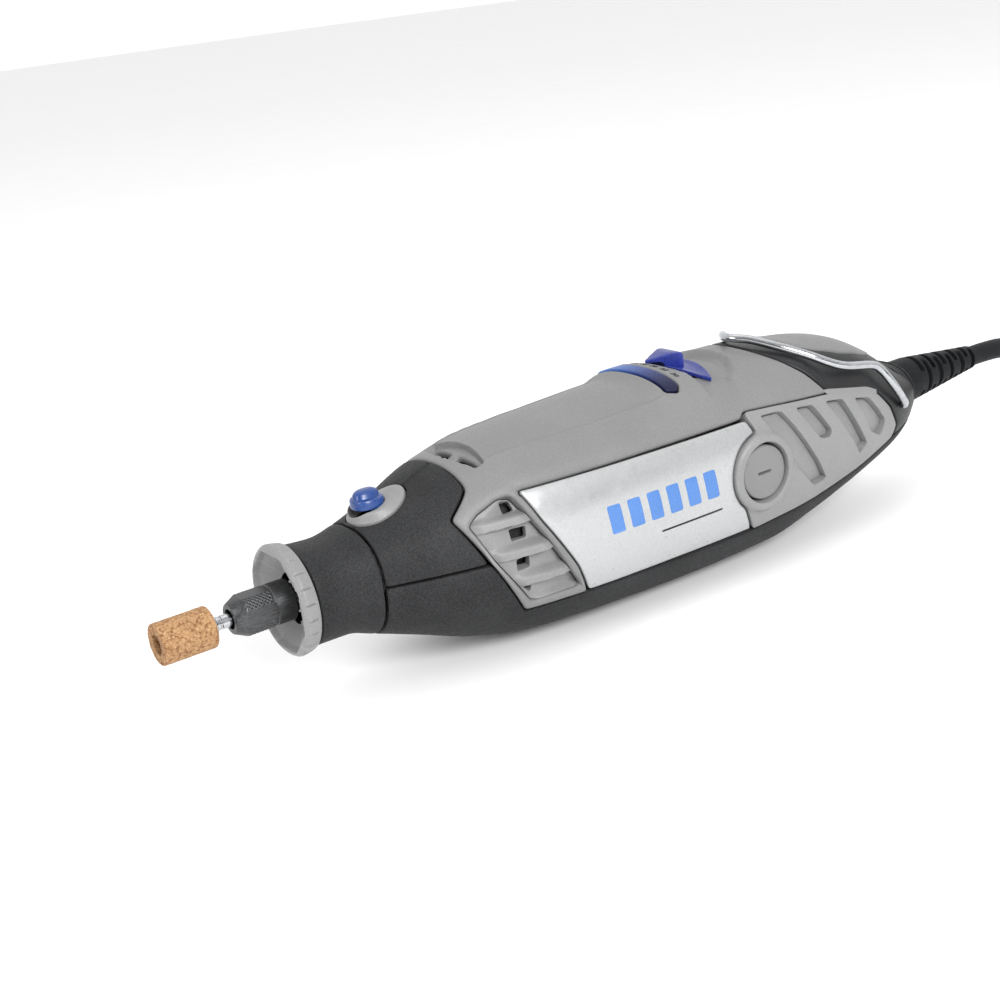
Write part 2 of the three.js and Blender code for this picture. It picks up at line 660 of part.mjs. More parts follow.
add("nose_cap", noseCap(), LIGHT_GREY);
add("neck_housing", neckHousing(), BLACK_GRIP);
add("front_grip_upper", gripUpper(), BLACK_GRIP);
add("lower_housing", screwHoles(lowerHousing()), BLACK_GRIP);
add("upper_housing", upperHousing(), GREY_PLASTIC);
add("rear_cover", rearCover(), BLACK_PLASTIC);
add("rear_top_cover", rearTopCover(), GREY_PLASTIC);
add("speed_scale", speedScale(), BLUE);
add("speed_slider", speedSlider(), BLUE);
add("lock_bezel", lockBezel(), LIGHT_GREY);
add("lock_button", lockButton(), BLUE);
add("lock_pin", lockPin(), STEEL);
add("lock_guide", lockGuide(), STEEL);
add("lock_spring", lockSpring(), STEEL);
add("hanger", hanger(), STEEL);

for (const [name, side] of [["left", 1], ["right", -1]]) {
  add(`side_plate_${name}`, sidePlate(side), SILVER);
  add(`front_grille_${name}`, frontGrille(side), LIGHT_GREY);
  add(`rear_panel_${name}`, rearPanel(side), LIGHT_GREY);
  add(`brush_cap_${name}`, brushCap(side), GREY_PLASTIC);
  add(`carbon_brush_${name}`, carbonBrush(side), CARBON);
  add(`brush_holder_${name}`, brushHolder(side), BRASS);
  add(`brush_spring_${name}`, brushSpring(side), STEEL);
}

add("grinding_stone", grindingStone(), STONE_GRIT);
add("bit_shank", bitShank(), STEEL);
add("collet_nut", colletNut(), BLACK_STEEL);
add("collet", collet(), STEEL);
add("spindle", spindle(), STEEL);
add("spindle_bearing_inner", ring(11, 17, SHAFT_RADIUS + GAP, 5.4), STEEL);
add("spindle_bearing_outer", ring(11, 17, 6.0, NECK.bore - GAP, 24), STEEL);
add("drive_coupling", coupling(), BLACK_PLASTIC);
add("motor_shaft", motorShaft(), STEEL);
add("cooling_fan", coolingFan(), BLACK_PLASTIC);
add("motor_bearing_front", ring(67.6, 72, MOTOR_SHAFT_RADIUS + GAP, 8, 20), STEEL);
add("motor_bearing_rear", ring(134, 138.4, MOTOR_SHAFT_RADIUS + GAP, 8, 20), STEEL);
add("armature_core", armatureCore(), LAMINATION);
add("winding_front", winding(73, 77.7), COPPER);
add("winding_rear", winding(106.3, 111), COPPER);
add("commutator", commutator(), COPPER);
add("field_core", fieldCore(), LAMINATION);
add("field_coil_top", fieldCoil(90), COPPER);
add("field_coil_bottom", fieldCoil(270), COPPER);
add("control_board", controlBoard(), BOARD);
add("speed_switch", speedSwitch(), BLACK_PLASTIC);
add("cord_clamp", cordClamp(), BLACK_PLASTIC);
add("strain_relief", strainRelief(), BLACK_PLASTIC);
SCREWS.forEach(([x, y], i) => add(`belly_screw_${i + 1}`, housingScrew(x, y), STEEL));
add("power_cord", cordTube(CORD_ROUTE, 14), BLACK_PLASTIC);
add("cord_hank", cordHank(), BLACK_PLASTIC);
add("cord_tail", cordTube(TAIL_ROUTE, 8), BLACK_PLASTIC);
add("plug_body", plugBody(), BLACK_PLASTIC);
add("plug_pin_left", plugPin(1), STEEL);
add("plug_pin_right", plugPin(-1), STEEL);

export default tool;
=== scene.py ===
"""A mains rotary hobby tool with a grinding stone in its collet, lying on a pale floor.

Shapes are worked out in millimetres in the tool's own frame: X runs back along the spindle axis
from the front face of the nose cap, Y is across, and Z is up from the axis. The housing's skin is
unrolled into a plane of (x, v), where v is the angle round from the top times UNROLL.
"""
import math

import bmesh
import bpy
import numpy as np
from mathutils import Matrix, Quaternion, Vector
from mathutils.geometry import delaunay_2d_cdt


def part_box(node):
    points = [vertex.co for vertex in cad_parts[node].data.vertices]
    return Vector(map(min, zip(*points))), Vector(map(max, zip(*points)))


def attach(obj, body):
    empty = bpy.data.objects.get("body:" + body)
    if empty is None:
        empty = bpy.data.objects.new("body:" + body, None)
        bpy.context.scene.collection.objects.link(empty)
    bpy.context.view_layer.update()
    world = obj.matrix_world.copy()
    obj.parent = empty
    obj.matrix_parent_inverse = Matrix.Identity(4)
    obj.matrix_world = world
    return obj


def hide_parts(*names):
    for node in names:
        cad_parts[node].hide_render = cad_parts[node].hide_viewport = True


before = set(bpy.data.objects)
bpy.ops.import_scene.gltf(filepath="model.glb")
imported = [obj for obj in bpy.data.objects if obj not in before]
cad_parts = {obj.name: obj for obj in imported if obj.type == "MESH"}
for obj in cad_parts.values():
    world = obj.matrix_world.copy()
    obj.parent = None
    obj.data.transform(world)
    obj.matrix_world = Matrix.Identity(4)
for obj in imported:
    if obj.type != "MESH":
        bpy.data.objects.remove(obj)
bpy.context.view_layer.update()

MM = 0.001
AXIS_HEIGHT = 26.0  # spindle axis above the table
ORIGIN = np.array([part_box("nose_cap")[0].x / MM, 0.0, AXIS_HEIGHT])
GAP = 0.3  # between neighbouring parts of the housing
SECTION_POWER = 2.35  # superellipse power of the housing's cross section
UNROLL = 22.0  # millimetres of the unrolled plane for each radian round the axis
BODY_END = 189.0

# Housing outline: distance back, half width, height above and depth below the axis.
OUTLINE = np.array([
    [3.9, 12.0, 11.2, 11.2],
    [12, 11.8, 10.6, 11.4],
    [19, 13.2, 11.8, 13.6],
    [30, 17.2, 15.2, 17.5],
    [42, 20.6, 20.0, 21.9],
    [58, 23.4, 23.2, 25.2],
    [80, 25.0, 24.2, 26.3],
    [105, 25.3, 25.1, 26.9],
    [130, 24.9, 25.0, 26.3],
    [143, 23.9, 24.5, 23.6],
    [155, 22.5, 23.4, 20.4],
    [166, 20.4, 21.0, 17.4],
    [176, 17.7, 16.8, 14.6],
    [183, 14.6, 11.8, 12.2],
    [189, 10.8, 7.4, 8.6],
])

STONE = {"front": -29.1, "back": -16.8, "radius": 4.68, "hole": 2.3, "depth": 2.4}
SHANK_RADIUS = 1.59
NUT = {
    "front": -12.1, "back": 2.2, "radius": 4.75, "mouth": 2.3, "inside": 3.5, "flat": 4.3, "knurls": 30,
}
CAP = {"face": -0.5, "back": 3.6, "bore": 5.6, "thread": 9.8, "dish": 11.1, "slots": 22}
NECK = {"front": 3.9, "back": 19.0, "bore": 8.9}
BEZEL = {"x": 26.9, "length": 7.2, "width": 6.5}  # half sizes
BUTTON_X = 24.9
BELLY_SCREWS = {"stations": (70, 130), "hole": 2.7}
BRUSH = {"x": 120.2, "cap": 6.7, "hole": 7.25, "boss": 9.5, "face": 25.6}
SLIDER = {"x": 116.0, "z": -14.0, "radius": 39.0}
RELIEF = {"base": 6.2, "tip": 3.3, "straight": 198.0, "end": 223.4}
CORD_RADIUS = 2.85
WIRE_RADIUS = 1.1
HANK = {"near": 316.0, "far": 368.0, "outer": 23.0, "inner": 17.3, "rise": 5.3, "lift": 0.8}
PLUG = {"back": 433.0, "y": -10.0, "z": -18.8}

# Side-view outlines, as (x, z) points.
FRONT_EDGE = [(42.5, 16.5), (36.2, 11.3), (50.4, -14.5)]
SEAM = [(118, -15), (140, -13.2), (157.5, -10.6), (172.3, -7)]
REAR_EDGE = [(174.4, -3.5), (171, 2.8), (166, 7.6), (161.5, 9.7), (147, 12.9), (142.8, 18.4), (139, 21.8)]
LIP_X = 42.5
BAND_X = 134.5
PLATE_FRONT = [(52.6, 14.2), (56, 6.7), (60.2, -0.4), (63.8, -6.6), (67.2, -14.62)]
GRILLE = [
    (39.4, 9.4), (42, 11.4), (47.4, 13.5), (50.6, 13.7), (53.8, 7.2), (58.2, -0.6), (61.8, -7.4),
    (64.6, -12.2), (51.7, -12.2), (43.4, 0.6),
]
PANEL_TOP = [(118.4, 15.3), (128.5, 14.4), (147, 12.5), (161.5, 9.3), (166, 7.2), (170.6, 2.5), (173.9, -3.6)]
HUMP = [(143, 0), (147.5, 6.5), (153, 11.2), (161, 13.2), (170, 12.2), (177, 8.5), (180, 0)]

scene = bpy.context.scene
FLOOR_RADIUS = 4.0  # metres


# ---- housing skin ----------------------------------------------------------------------------
def tangents(stations, values):
    """Slopes of a monotone cubic through the outline's stations."""
    slopes = np.diff(values) / np.diff(stations)
    before, after = slopes[:-1], slopes[1:]
    total = np.where(before + after == 0, 1.0, before + after)
    inner = np.where(before * after > 0, 2 * before * after / total, 0.0)
    return np.concatenate([slopes[:1], inner, slopes[-1:]])


SLOPES = [tangents(OUTLINE[:, 0], OUTLINE[:, column]) for column in range(4)]


def along(x, column):
    """A smooth value between the outline's stations, with no overshoot."""
    stations, values, slopes = OUTLINE[:, 0], OUTLINE[:, column], SLOPES[column]
    i = np.clip(np.searchsorted(stations, x, side="right") - 1, 0, len(stations) - 2)
    h = stations[i + 1] - stations[i]
    t = (x - stations[i]) / h
    p, q = values[i], values[i + 1]
    m, n = slopes[i] * h, slopes[i + 1] * h
    rise = q - p
    return p + t * (m + t * (3 * rise - 2 * m - n + t * (m + n - 2 * rise)))


def skin(x, angle):
    """Points of the housing's outer form, angle radians round from the top towards +Y."""
    width, top, depth = (along(x, column) for column in (1, 2, 3))
    height = np.where(np.cos(angle) > 0, top, depth)
    across, upward = np.abs(np.sin(angle)) / width, np.abs(np.cos(angle)) / height
    radius = (across**SECTION_POWER + upward**SECTION_POWER) ** (-1 / SECTION_POWER)
    z = np.maximum(radius * np.cos(angle), -AXIS_HEIGHT)
    return np.stack([x, radius * np.sin(angle), z], axis=-1)


def on_skin(plane, height):
    """Points height above the skin, at the unrolled plane's (x, v)."""
    x, angle = plane[:, 0], plane[:, 1] / UNROLL
    back = skin(x + 0.2, angle) - skin(x - 0.2, angle)
    turn = skin(x, angle + 0.01) - skin(x, angle - 0.01)
    normal = np.cross(back, turn)
    normal /= np.linalg.norm(normal, axis=1)[:, None]
    return skin(x, angle) + normal * np.reshape(height, (-1, 1))


def other_part(part):
    """The section's share of one half axis where it reaches this share of the other."""
    return np.maximum(1 - np.abs(part) ** SECTION_POWER, 0) ** (1 / SECTION_POWER)


def from_side(points):
    """Side-view (x, z) points of the +Y side in the unrolled plane."""
    x, z = np.array(points, float).T
    reach = np.where(z > 0, along(x, 2), along(x, 3))
    y = along(x, 1) * other_part(z / reach)
    return np.column_stack([x, UNROLL * np.arctan2(y, z)])


def from_above(points):
    """Plan-view (x, y) points of the top in the unrolled plane."""
    x, y = np.array(points, float).T
    z = along(x, 2) * other_part(y / along(x, 1))
    return np.column_stack([x, UNROLL * np.arctan2(y, z)])


def plane_to_y(plane):
    """Distance across of the skin at points of the unrolled plane."""
    return skin(plane[:, 0], plane[:, 1] / UNROLL)[:, 1]


def plane_to_z(plane):
    """Height of the skin at points of the unrolled plane."""
    return skin(plane[:, 0], plane[:, 1] / UNROLL)[:, 2]


def even(height):
    """A relief of one height all over."""
    return lambda plane: np.full(len(plane), height)


# ---- outlines --------------------------------------------------------------------------------
def fillet(points, radius, closed=True, steps=4):
    """An outline with its corners rounded, each by at most 0.45 of its shorter side."""
    points = [np.array(p, float) for p in points]
    out = []
    for i, corner in enumerate(points):
        if not closed and i in (0, len(points) - 1):
            out.append(corner)
            continue
        before, after = points[i - 1] - corner, points[(i + 1) % len(points)] - corner
        reach = min(radius, 0.45 * np.linalg.norm(before), 0.45 * np.linalg.norm(after))
        start = corner + before / np.linalg.norm(before) * reach
        end = corner + after / np.linalg.norm(after) * reach
        for t in np.linspace(0, 1, steps + 1):
            out.append((1 - t) ** 2 * start + 2 * t * (1 - t) * corner + t * t * end)
    return np.array(out)


def spaced(points, step, closed=True):
    """The same line with points an even distance apart."""
    line = np.vstack([points, points[:1]]) if closed else np.array(points, float)
    run = np.concatenate([[0], np.cumsum(np.linalg.norm(np.diff(line, axis=0), axis=1))])
    count = max(3, round(run[-1] / step))
    at = np.linspace(0, run[-1], count + 1)
    if closed:
        at = at[:-1]
    return np.stack([np.interp(at, run, line[:, k]) for k in range(line.shape[1])], axis=-1)


def side_loop(points, radius=0.8, step=0.9):
    """A closed loop of the unrolled plane from a side-view outline."""
    fine = spaced(fillet(points, radius), 0.3)
    return spaced(from_side(fine), step)


def top_loop(points, radius=0.8, step=0.9):
    """A closed loop of the unrolled plane from a plan-view outline."""
    return spaced(from_above(spaced(fillet(points, radius), 0.3)), step)


def both_sides(points, centre, radius=1.2, step=0.9):
    """A loop from an open side-view line and its mirror image about v = centre."""
    line = from_side(spaced(fillet(points, radius, closed=False), 0.3, closed=False))
    mirror = np.stack([line[:, 0], 2 * centre - line[:, 1]], axis=-1)[::-1]
    return spaced(np.vstack([line, mirror]), step)


def ellipse(x, y, a, b, count=48):
    """Points round an ellipse with these half axes."""
    turn = around(count)
    return np.stack([x + a * np.cos(turn), y + b * np.sin(turn)], axis=-1)


def moved(loop, distance):
    """A loop moved to its left by a distance, with mitred corners."""
    ahead = np.roll(loop, -1, axis=0) - loop
    ahead /= np.linalg.norm(ahead, axis=1)[:, None]
    left = np.stack([-ahead[:, 1], ahead[:, 0]], axis=-1)
    before = np.roll(left, 1, axis=0)
    scale = distance / np.maximum(1 + (left * before).sum(axis=1), 0.6)
    return loop + (left + before) * scale[:, None]


def turned_to(loop, sign):
    """A loop running anticlockwise for a sign of 1 and clockwise for -1."""
    x, y = loop.T
    area = (x * np.roll(y, -1) - np.roll(x, -1) * y).sum()
    return loop if area * sign > 0 else loop[::-1]


def within(points, loops):
    """Whether each point is inside the first loop and outside the rest."""
    start = np.vstack(loops)
    end = np.vstack([np.roll(loop, -1, axis=0) for loop in loops])
    inside = np.zeros(len(points), bool)
    for a, b in zip(start, end):
        if a[1] != b[1]:
            crosses = (a[1] > points[:, 1]) != (b[1] > points[:, 1])
            at = a[0] + (points[:, 1] - a[1]) * (b[0] - a[0]) / (b[1] - a[1])
            inside ^= crosses & (points[:, 0] < at)
    return inside


def beyond(points, loops, distance):
    """Whether each point is at least that far from every loop's points."""
    rim = np.vstack(loops)
    clear = np.empty(len(points), bool)
    for i in range(0, len(points), 1000):
        gaps = points[i:i + 1000, None] - rim[None]
        clear[i:i + 1000] = (gaps**2).sum(axis=2).min(axis=1) > distance**2
    return clear


def ease(low, high, value):
    """0 below low, 1 above high and smooth between."""
    t = np.clip((value - low) / (high - low), 0, 1)
    return t * t * (3 - 2 * t)


def around(count):
    """Evenly spaced angles of a full turn."""
    return np.linspace(0, 2 * np.pi, count, endpoint=False)


def circle(x, radius, turn):
    """Points about the spindle axis, a radius out at each angle from the top."""
    return np.stack([np.full(len(turn), x), radius * np.sin(turn), radius * np.cos(turn)], axis=-1)


OTHER_SIDE = np.array([1, -1])  # turns a loop of the unrolled plane into its mirror image


# ---- mesh builders ---------------------------------------------------------------------------
def lattice(low, high, pitch):
    """A triangular grid of points filling a box."""
    rows = np.arange(low[1], high[1], pitch * 0.866)
    columns = np.arange(low[0], high[0], pitch)
    shift = (np.arange(len(rows)) % 2)[:, None] * pitch / 2
    x = columns[None] + shift
    return np.stack([x.ravel(), np.repeat(rows, len(columns))], axis=-1)


def fill(rims, pitch, fine):
    """Points, triangles and each rim's point numbers of a triangulated area with holes."""
    points = lattice(rims[0].min(axis=0), rims[0].max(axis=0), pitch)
    points = points[within(points, rims)]
    points = points[beyond(points, rims, 0.55 * pitch)]
    for x0, x1, v0, v1, small in fine:
        x, v = points.T
        outside = (x < x0) | (x > x1) | (v < v0) | (v > v1)
        extra = lattice((x0, v0), (x1, v1), small)
        extra = extra[within(extra, rims)]
        extra = extra[beyond(extra, rims, 0.55 * small)]
        points = np.vstack([points[outside], extra])
    edges, start = [], 0
    for rim in rims:
        count = len(rim)
        edges += [(start + i, start + (i + 1) % count) for i in range(count)]
        start += count
    given = np.vstack([*rims, points])
    flat, _, faces, origin, _, _ = delaunay_2d_cdt([Vector(p) for p in given], edges, [], 0, 1e-6)
    flat = np.array([tuple(p) for p in flat])
    faces = np.array([list(face) for face in faces])
    faces = faces[within(flat[faces].mean(axis=1), rims)]
    number = np.zeros(len(given), int)
    for new, old in enumerate(origin):
        number[list(old)] = new
    starts = np.cumsum([0] + [len(rim) for rim in rims])
    return flat, faces, [number[a:b] for a, b in zip(starts, starts[1:])]


def strip(lower, upper):
    """Quads between two closed rings of point numbers."""
    return [(lower[i - 1], lower[i], upper[i], upper[i - 1]) for i in range(len(lower))]


def patch(loops, relief=None, wall=2.2, edge=0.4, pitch=1.5, fine=(), lift=on_skin, shrink=GAP / 2):
    """Points and faces of a closed plate inside the first loop and outside the rest.

    relief(plane) is the height of its face above lift's surface, and edge rounds its rims.
    """
    relief = relief or even(0.0)
    rims = [turned_to(loop, 1 if i == 0 else -1) for i, loop in enumerate(loops)]
    rims = [moved(rim, shrink) for rim in rims]
    inner = [moved(rim, edge) for rim in rims]
    flat, triangles, numbers = fill(inner, pitch, fine)
    count = len(flat)
    points = [lift(flat, relief(flat)), lift(flat, np.full(count, -wall))]
    faces = [tuple(t) for t in triangles] + [tuple(t[::-1] + count) for t in triangles]
    total = 2 * count
    for rim, top in zip(rims, numbers):
        below = top + count
        sunk = lift(rim, np.full(len(rim), -wall))
        rings = [sunk]
        for turn in (0, math.radians(30), math.radians(60)):
            ring = moved(rim, edge * (1 - math.cos(turn)))
            rings.append(lift(ring, relief(ring) - edge * (1 - math.sin(turn))))
        for ring in rings:
            points.append(ring)
            here = np.arange(total, total + len(ring))
            faces += strip(below, here)
            below = here
            total += len(ring)
        faces += strip(below, top)
    return np.vstack(points), faces


def grid(rows, closed=False):
    """Points and faces through rings of points. Open ones are capped, closed ones join up."""
    rows = np.array(rows)
    count, sides = rows.shape[:2]
    number = np.arange(count * sides).reshape(count, sides)
    faces = []
    for i in range(count - (0 if closed else 1)):
        faces += strip(number[i], number[(i + 1) % count])
    if not closed:
        faces += [tuple(number[0][::-1]), tuple(number[-1])]
    return rows.reshape(-1, 3), faces


def lathe(profile, segments=64, shape=None, closed=False):
    """A solid of revolution about the spindle axis, from (x, radius) points.

    shape(x, radius, turn) moves the points of each ring.
    """
    turn = around(segments)
    rows = []
    for x, radius in profile:
        x, radius = np.full(segments, float(x)), np.full(segments, float(radius))
        if shape:
            x, radius = shape(x, radius, turn)
        rows.append(circle(0.0, radius, turn) + x[:, None] * [1, 0, 0])
    return grid(rows, closed)


def tube(centres, radii, sides=20):
    """A round bar along a line of points."""
    centres = np.array(centres, float)
    radii = np.broadcast_to(radii, len(centres))
    heading = np.gradient(centres, axis=0)
    heading /= np.linalg.norm(heading, axis=1)[:, None]
    side = np.cross(heading[0], [0.3, 0.2, 1.0])
    turn = around(sides)
    rows = []
    for centre, radius, ahead in zip(centres, radii, heading):
        side = side - ahead * (side @ ahead)
        side /= np.linalg.norm(side)
        other = np.cross(ahead, side)
        rows.append(centre + radius * (np.outer(np.cos(turn), side) + np.outer(np.sin(turn), other)))
    return grid(rows)


def smooth_line(points, step):
    """A Catmull-Rom curve through points, with points an even distance apart."""
    points = np.array(points, float)
    padded = np.vstack([2 * points[0] - points[1], points, 2 * points[-1] - points[-2]])
    t = np.linspace(0, 1, 24, endpoint=False)[:, None]
    line = []
    for a, b, c, d in zip(padded, padded[1:], padded[2:], padded[3:]):
        line.append(0.5 * (2 * b + (c - a) * t + (2 * a - 5 * b + 4 * c - d) * t**2
                           + (3 * b - a - 3 * c + d) * t**3))
    return spaced(np.vstack([*line, points[-1:]]), step, closed=False)


def mirrored(made):
    """The same solid on the other side of the tool."""
    points, faces = made
    return points * [*OTHER_SIDE, 1], [tuple(reversed(face)) for face in faces]


def together(*parts):
    """One mesh of several solids."""
    points, faces, start = [], [], 0
    for more, their in parts:
        points.append(more)
        faces += [tuple(int(i) + start for i in face) for face in their]
        start += len(more)
    return np.vstack(points), faces


def piece(name, made, look, nodes=(), body="housing", slot=None, sharp=40):
    """A finished piece that rides on a body and stands for CAD nodes.

    Its material is its look's; the slot argument is not used.
    """
    slot = slot or look
    points, faces = made
    mesh = bpy.data.meshes.new(name)
    placed = (points + ORIGIN) * MM
    mesh.from_pydata([tuple(p) for p in placed], [], [tuple(int(i) for i in f) for f in faces])
    work = bmesh.new()
    work.from_mesh(mesh)
    bmesh.ops.remove_doubles(work, verts=work.verts, dist=1e-7)
    bmesh.ops.recalc_face_normals(work, faces=work.faces)
    work.to_mesh(mesh)
    work.free()
    mesh.shade_smooth()
    mesh.set_sharp_from_angle(angle=math.radians(sharp))
    mesh.materials.append(LOOKS[look])
    made_object = bpy.data.objects.new(name, mesh)
    scene.collection.objects.link(made_object)
    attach(made_object, body)
    if nodes:
        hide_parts(*nodes)
    return made_object


def pair(name, made, look, node):
    """The same piece on both sides of the tool."""
    piece(f"{name}_left", made, look, [f"{node}_left"])
    piece(f"{name}_right", mirrored(made), look, [f"{node}_right"])


# ---- materials -------------------------------------------------------------------------------
LOOKS = {}


class Paint:
    """A node material on the object's own coordinates, listed in LOOKS under its name."""

    def __init__(self, name, metallic=0.0, coat=0.0, shine=0.5):
        self.material = LOOKS[name] = bpy.data.materials.new(name)
        self.material.use_nodes = True
        self.tree = self.material.node_tree
        self.shader = self.tree.nodes["Principled BSDF"]
        self.shader.inputs["Metallic"].default_value = metallic
        self.shader.inputs["Coat Weight"].default_value = coat
        self.shader.inputs["Coat Roughness"].default_value = 0.12
        self.shader.inputs["Specular IOR Level"].default_value = shine
        self.where = self.node("ShaderNodeTexCoord").outputs["Object"]

    def node(self, kind, inputs=None, **settings):
        made = self.tree.nodes.new(kind)
        for key, value in settings.items():
            setattr(made, key, value)
        for key, value in (inputs or {}).items():
            if isinstance(value, bpy.types.NodeSocket):
                self.tree.links.new(value, made.inputs[key])
            else:
                made.inputs[key].default_value = value
        return made

    def noise(self, size, detail=3.0, stretch=None):
        """Noise whose features are about size millimetres."""
        where = self.where
        if stretch:
            where = self.node("ShaderNodeVectorMath", {0: where, 1: stretch}, operation="MULTIPLY").outputs[0]
        settings = {"Vector": where, "Scale": 1 / (size * MM), "Detail": detail}
        return self.node("ShaderNodeTexNoise", settings).outputs["Fac"]

    def ramp(self, value, stops):
        """Colours that follow a value, from (value, colour) stops."""
        made = self.node("ShaderNodeValToRGB", {"Fac": value})
        elements = made.color_ramp.elements
        while len(elements) < len(stops):
            elements.new(0.5)
        for element, (at, colour) in zip(elements, stops):
            element.position = at
            element.color = (*colour, 1)
        return made.outputs["Color"]

    def spread(self, value, low, high, start=0.3, end=0.7):
        """A value's middle range mapped on to low to high."""
        settings = {"Value": value, "From Min": start, "From Max": end, "To Min": low, "To Max": high}
        return self.node("ShaderNodeMapRange", settings).outputs["Result"]

    def mix(self, part, a, b, blend="MIX"):
        made = self.node("ShaderNodeMix", data_type="RGBA", blend_type=blend)
        for socket, value in zip((0, 6, 7), (part, a, b)):
            if isinstance(value, bpy.types.NodeSocket):
                self.tree.links.new(value, made.inputs[socket])
            else:
                made.inputs[socket].default_value = value
        return made.outputs[2]

    def worn(self, colour, lighter, amount):
        """Edges rubbed to a lighter colour."""
        point = self.node("ShaderNodeNewGeometry").outputs["Pointiness"]
        edge = self.spread(point, 0.0, amount, 0.53, 0.6)
        return self.mix(edge, colour, (*lighter, 1))

    def colour(self, value):
        self.tree.links.new(value, self.shader.inputs["Base Color"])

    def rough(self, value):
        self.tree.links.new(value, self.shader.inputs["Roughness"])

    def bumps(self, value, strength, distance):
        settings = {"Height": value, "Strength": strength, "Distance": distance * MM}
        bump = self.node("ShaderNodeBump", settings)
        before = self.shader.inputs["Normal"]
        if before.is_linked:
            self.tree.links.new(before.links[0].from_socket, bump.inputs["Normal"])
        self.tree.links.new(bump.outputs["Normal"], before)


def moulded(name, dark, light, roughness, grain, strength, edge=0.3, **settings):
    """Moulded plastic: fine spark-eroded grain, cloudy colour and slightly rubbed edges."""
    paint = Paint(name, **settings)
    fine, cloud = paint.noise(grain, 4), paint.noise(14, 2)
    both = paint.mix(0.35, paint.ramp(fine, [(0.36, dark), (0.66, light)]),
                     paint.ramp(cloud, [(0.3, dark), (0.7, light)]))
    paint.colour(paint.worn(both, tuple(min(1, 1.35 * c + 0.015) for c in light), edge))
    paint.rough(paint.spread(paint.noise(grain * 2.2, 2), roughness - 0.06, roughness + 0.07))
    paint.bumps(fine, strength, 0.12)


def metal(name, dark, light, roughness, stretch=(1, 6, 6), strength=0.1, size=2.0):
    """Bare metal with fine turning marks along one direction."""
    paint = Paint(name, metallic=1.0)
    marks = paint.noise(size, 6, stretch)
    paint.colour(paint.ramp(marks, [(0.3, dark), (0.7, light)]))
    paint.rough(paint.spread(marks, roughness - 0.05, roughness + 0.09))
    paint.bumps(paint.noise(size * 0.5, 5, stretch), strength, 0.03)


def grit(name):
    """Bonded abrasive: packed grains of several tones with dark pores between."""
    paint = Paint(name)
    cells = paint.node("ShaderNodeTexVoronoi", {"Vector": paint.where, "Scale": 3600.0})
    tone = paint.node("ShaderNodeSeparateColor", {"Color": cells.outputs["Color"]}).outputs[0]
    grains = paint.ramp(tone, [
        (0.0, (0.32, 0.175, 0.08)), (0.35, (0.40, 0.23, 0.105)),
        (0.7, (0.44, 0.265, 0.13)), (1.0, (0.52, 0.34, 0.19)),
    ])
    pores = paint.ramp(paint.noise(0.75, 4), [(0.36, (0.55, 0.42, 0.36)), (0.5, (1, 1, 1))])
    cloud = paint.ramp(paint.noise(4, 2), [(0.3, (0.86, 0.82, 0.8)), (0.7, (1.06, 1.04, 1.0))])
    stained = paint.mix(1.0, paint.mix(1.0, grains, pores, "MULTIPLY"), cloud, "MULTIPLY")
    paint.colour(stained)
    paint.rough(paint.spread(paint.noise(0.6, 3), 0.82, 0.98))
    paint.bumps(cells.outputs["Distance"], 0.55, 0.25)
    paint.bumps(paint.noise(0.5, 5), 0.8, 0.3)


def silver(name):
    """Satin silver lacquer with a faint metallic flake."""
    paint = Paint(name, metallic=0.55, coat=0.15)
    flake, cloud = paint.noise(0.5, 2), paint.noise(25, 2)
    flakes = paint.ramp(flake, [(0.35, (0.42, 0.425, 0.43)), (0.65, (0.49, 0.495, 0.5))])
    clouds = paint.ramp(cloud, [(0.3, (0.43, 0.435, 0.44)), (0.7, (0.48, 0.485, 0.49))])
    paint.colour(paint.mix(0.3, flakes, clouds))
    paint.rough(paint.spread(paint.noise(3, 4), 0.27, 0.36))
    paint.bumps(flake, 0.015, 0.02)


def scale_blue(name):
    """The printed speed band, which deepens from pale blue to navy across the tool."""
    paint = Paint(name, coat=0.05, shine=0.3)
    across = paint.node("ShaderNodeSeparateXYZ", {"Vector": paint.where}).outputs["Y"]
    place = paint.spread(across, 1.0, 0.0, -13.5 * MM, 13.5 * MM)
    bands = paint.ramp(place, [
        (0.0, (0.09, 0.21, 0.5)), (0.35, (0.035, 0.1, 0.34)), (0.62, (0.012, 0.03, 0.16)),
        (0.86, (0.003, 0.007, 0.05)), (1.0, (0.002, 0.004, 0.03)),
    ])
    speck = paint.ramp(paint.noise(0.5, 3), [(0.35, (0.8, 0.85, 0.9)), (0.6, (1.12, 1.1, 1.05))])
    paint.colour(paint.mix(1.0, bands, speck, "MULTIPLY"))
    paint.rough(paint.spread(paint.noise(0.6, 3), 0.42, 0.55))
    paint.bumps(paint.noise(0.3, 2), 0.1, 0.04)


def grey(value):
    """A neutral colour."""
    return (value, value, value)


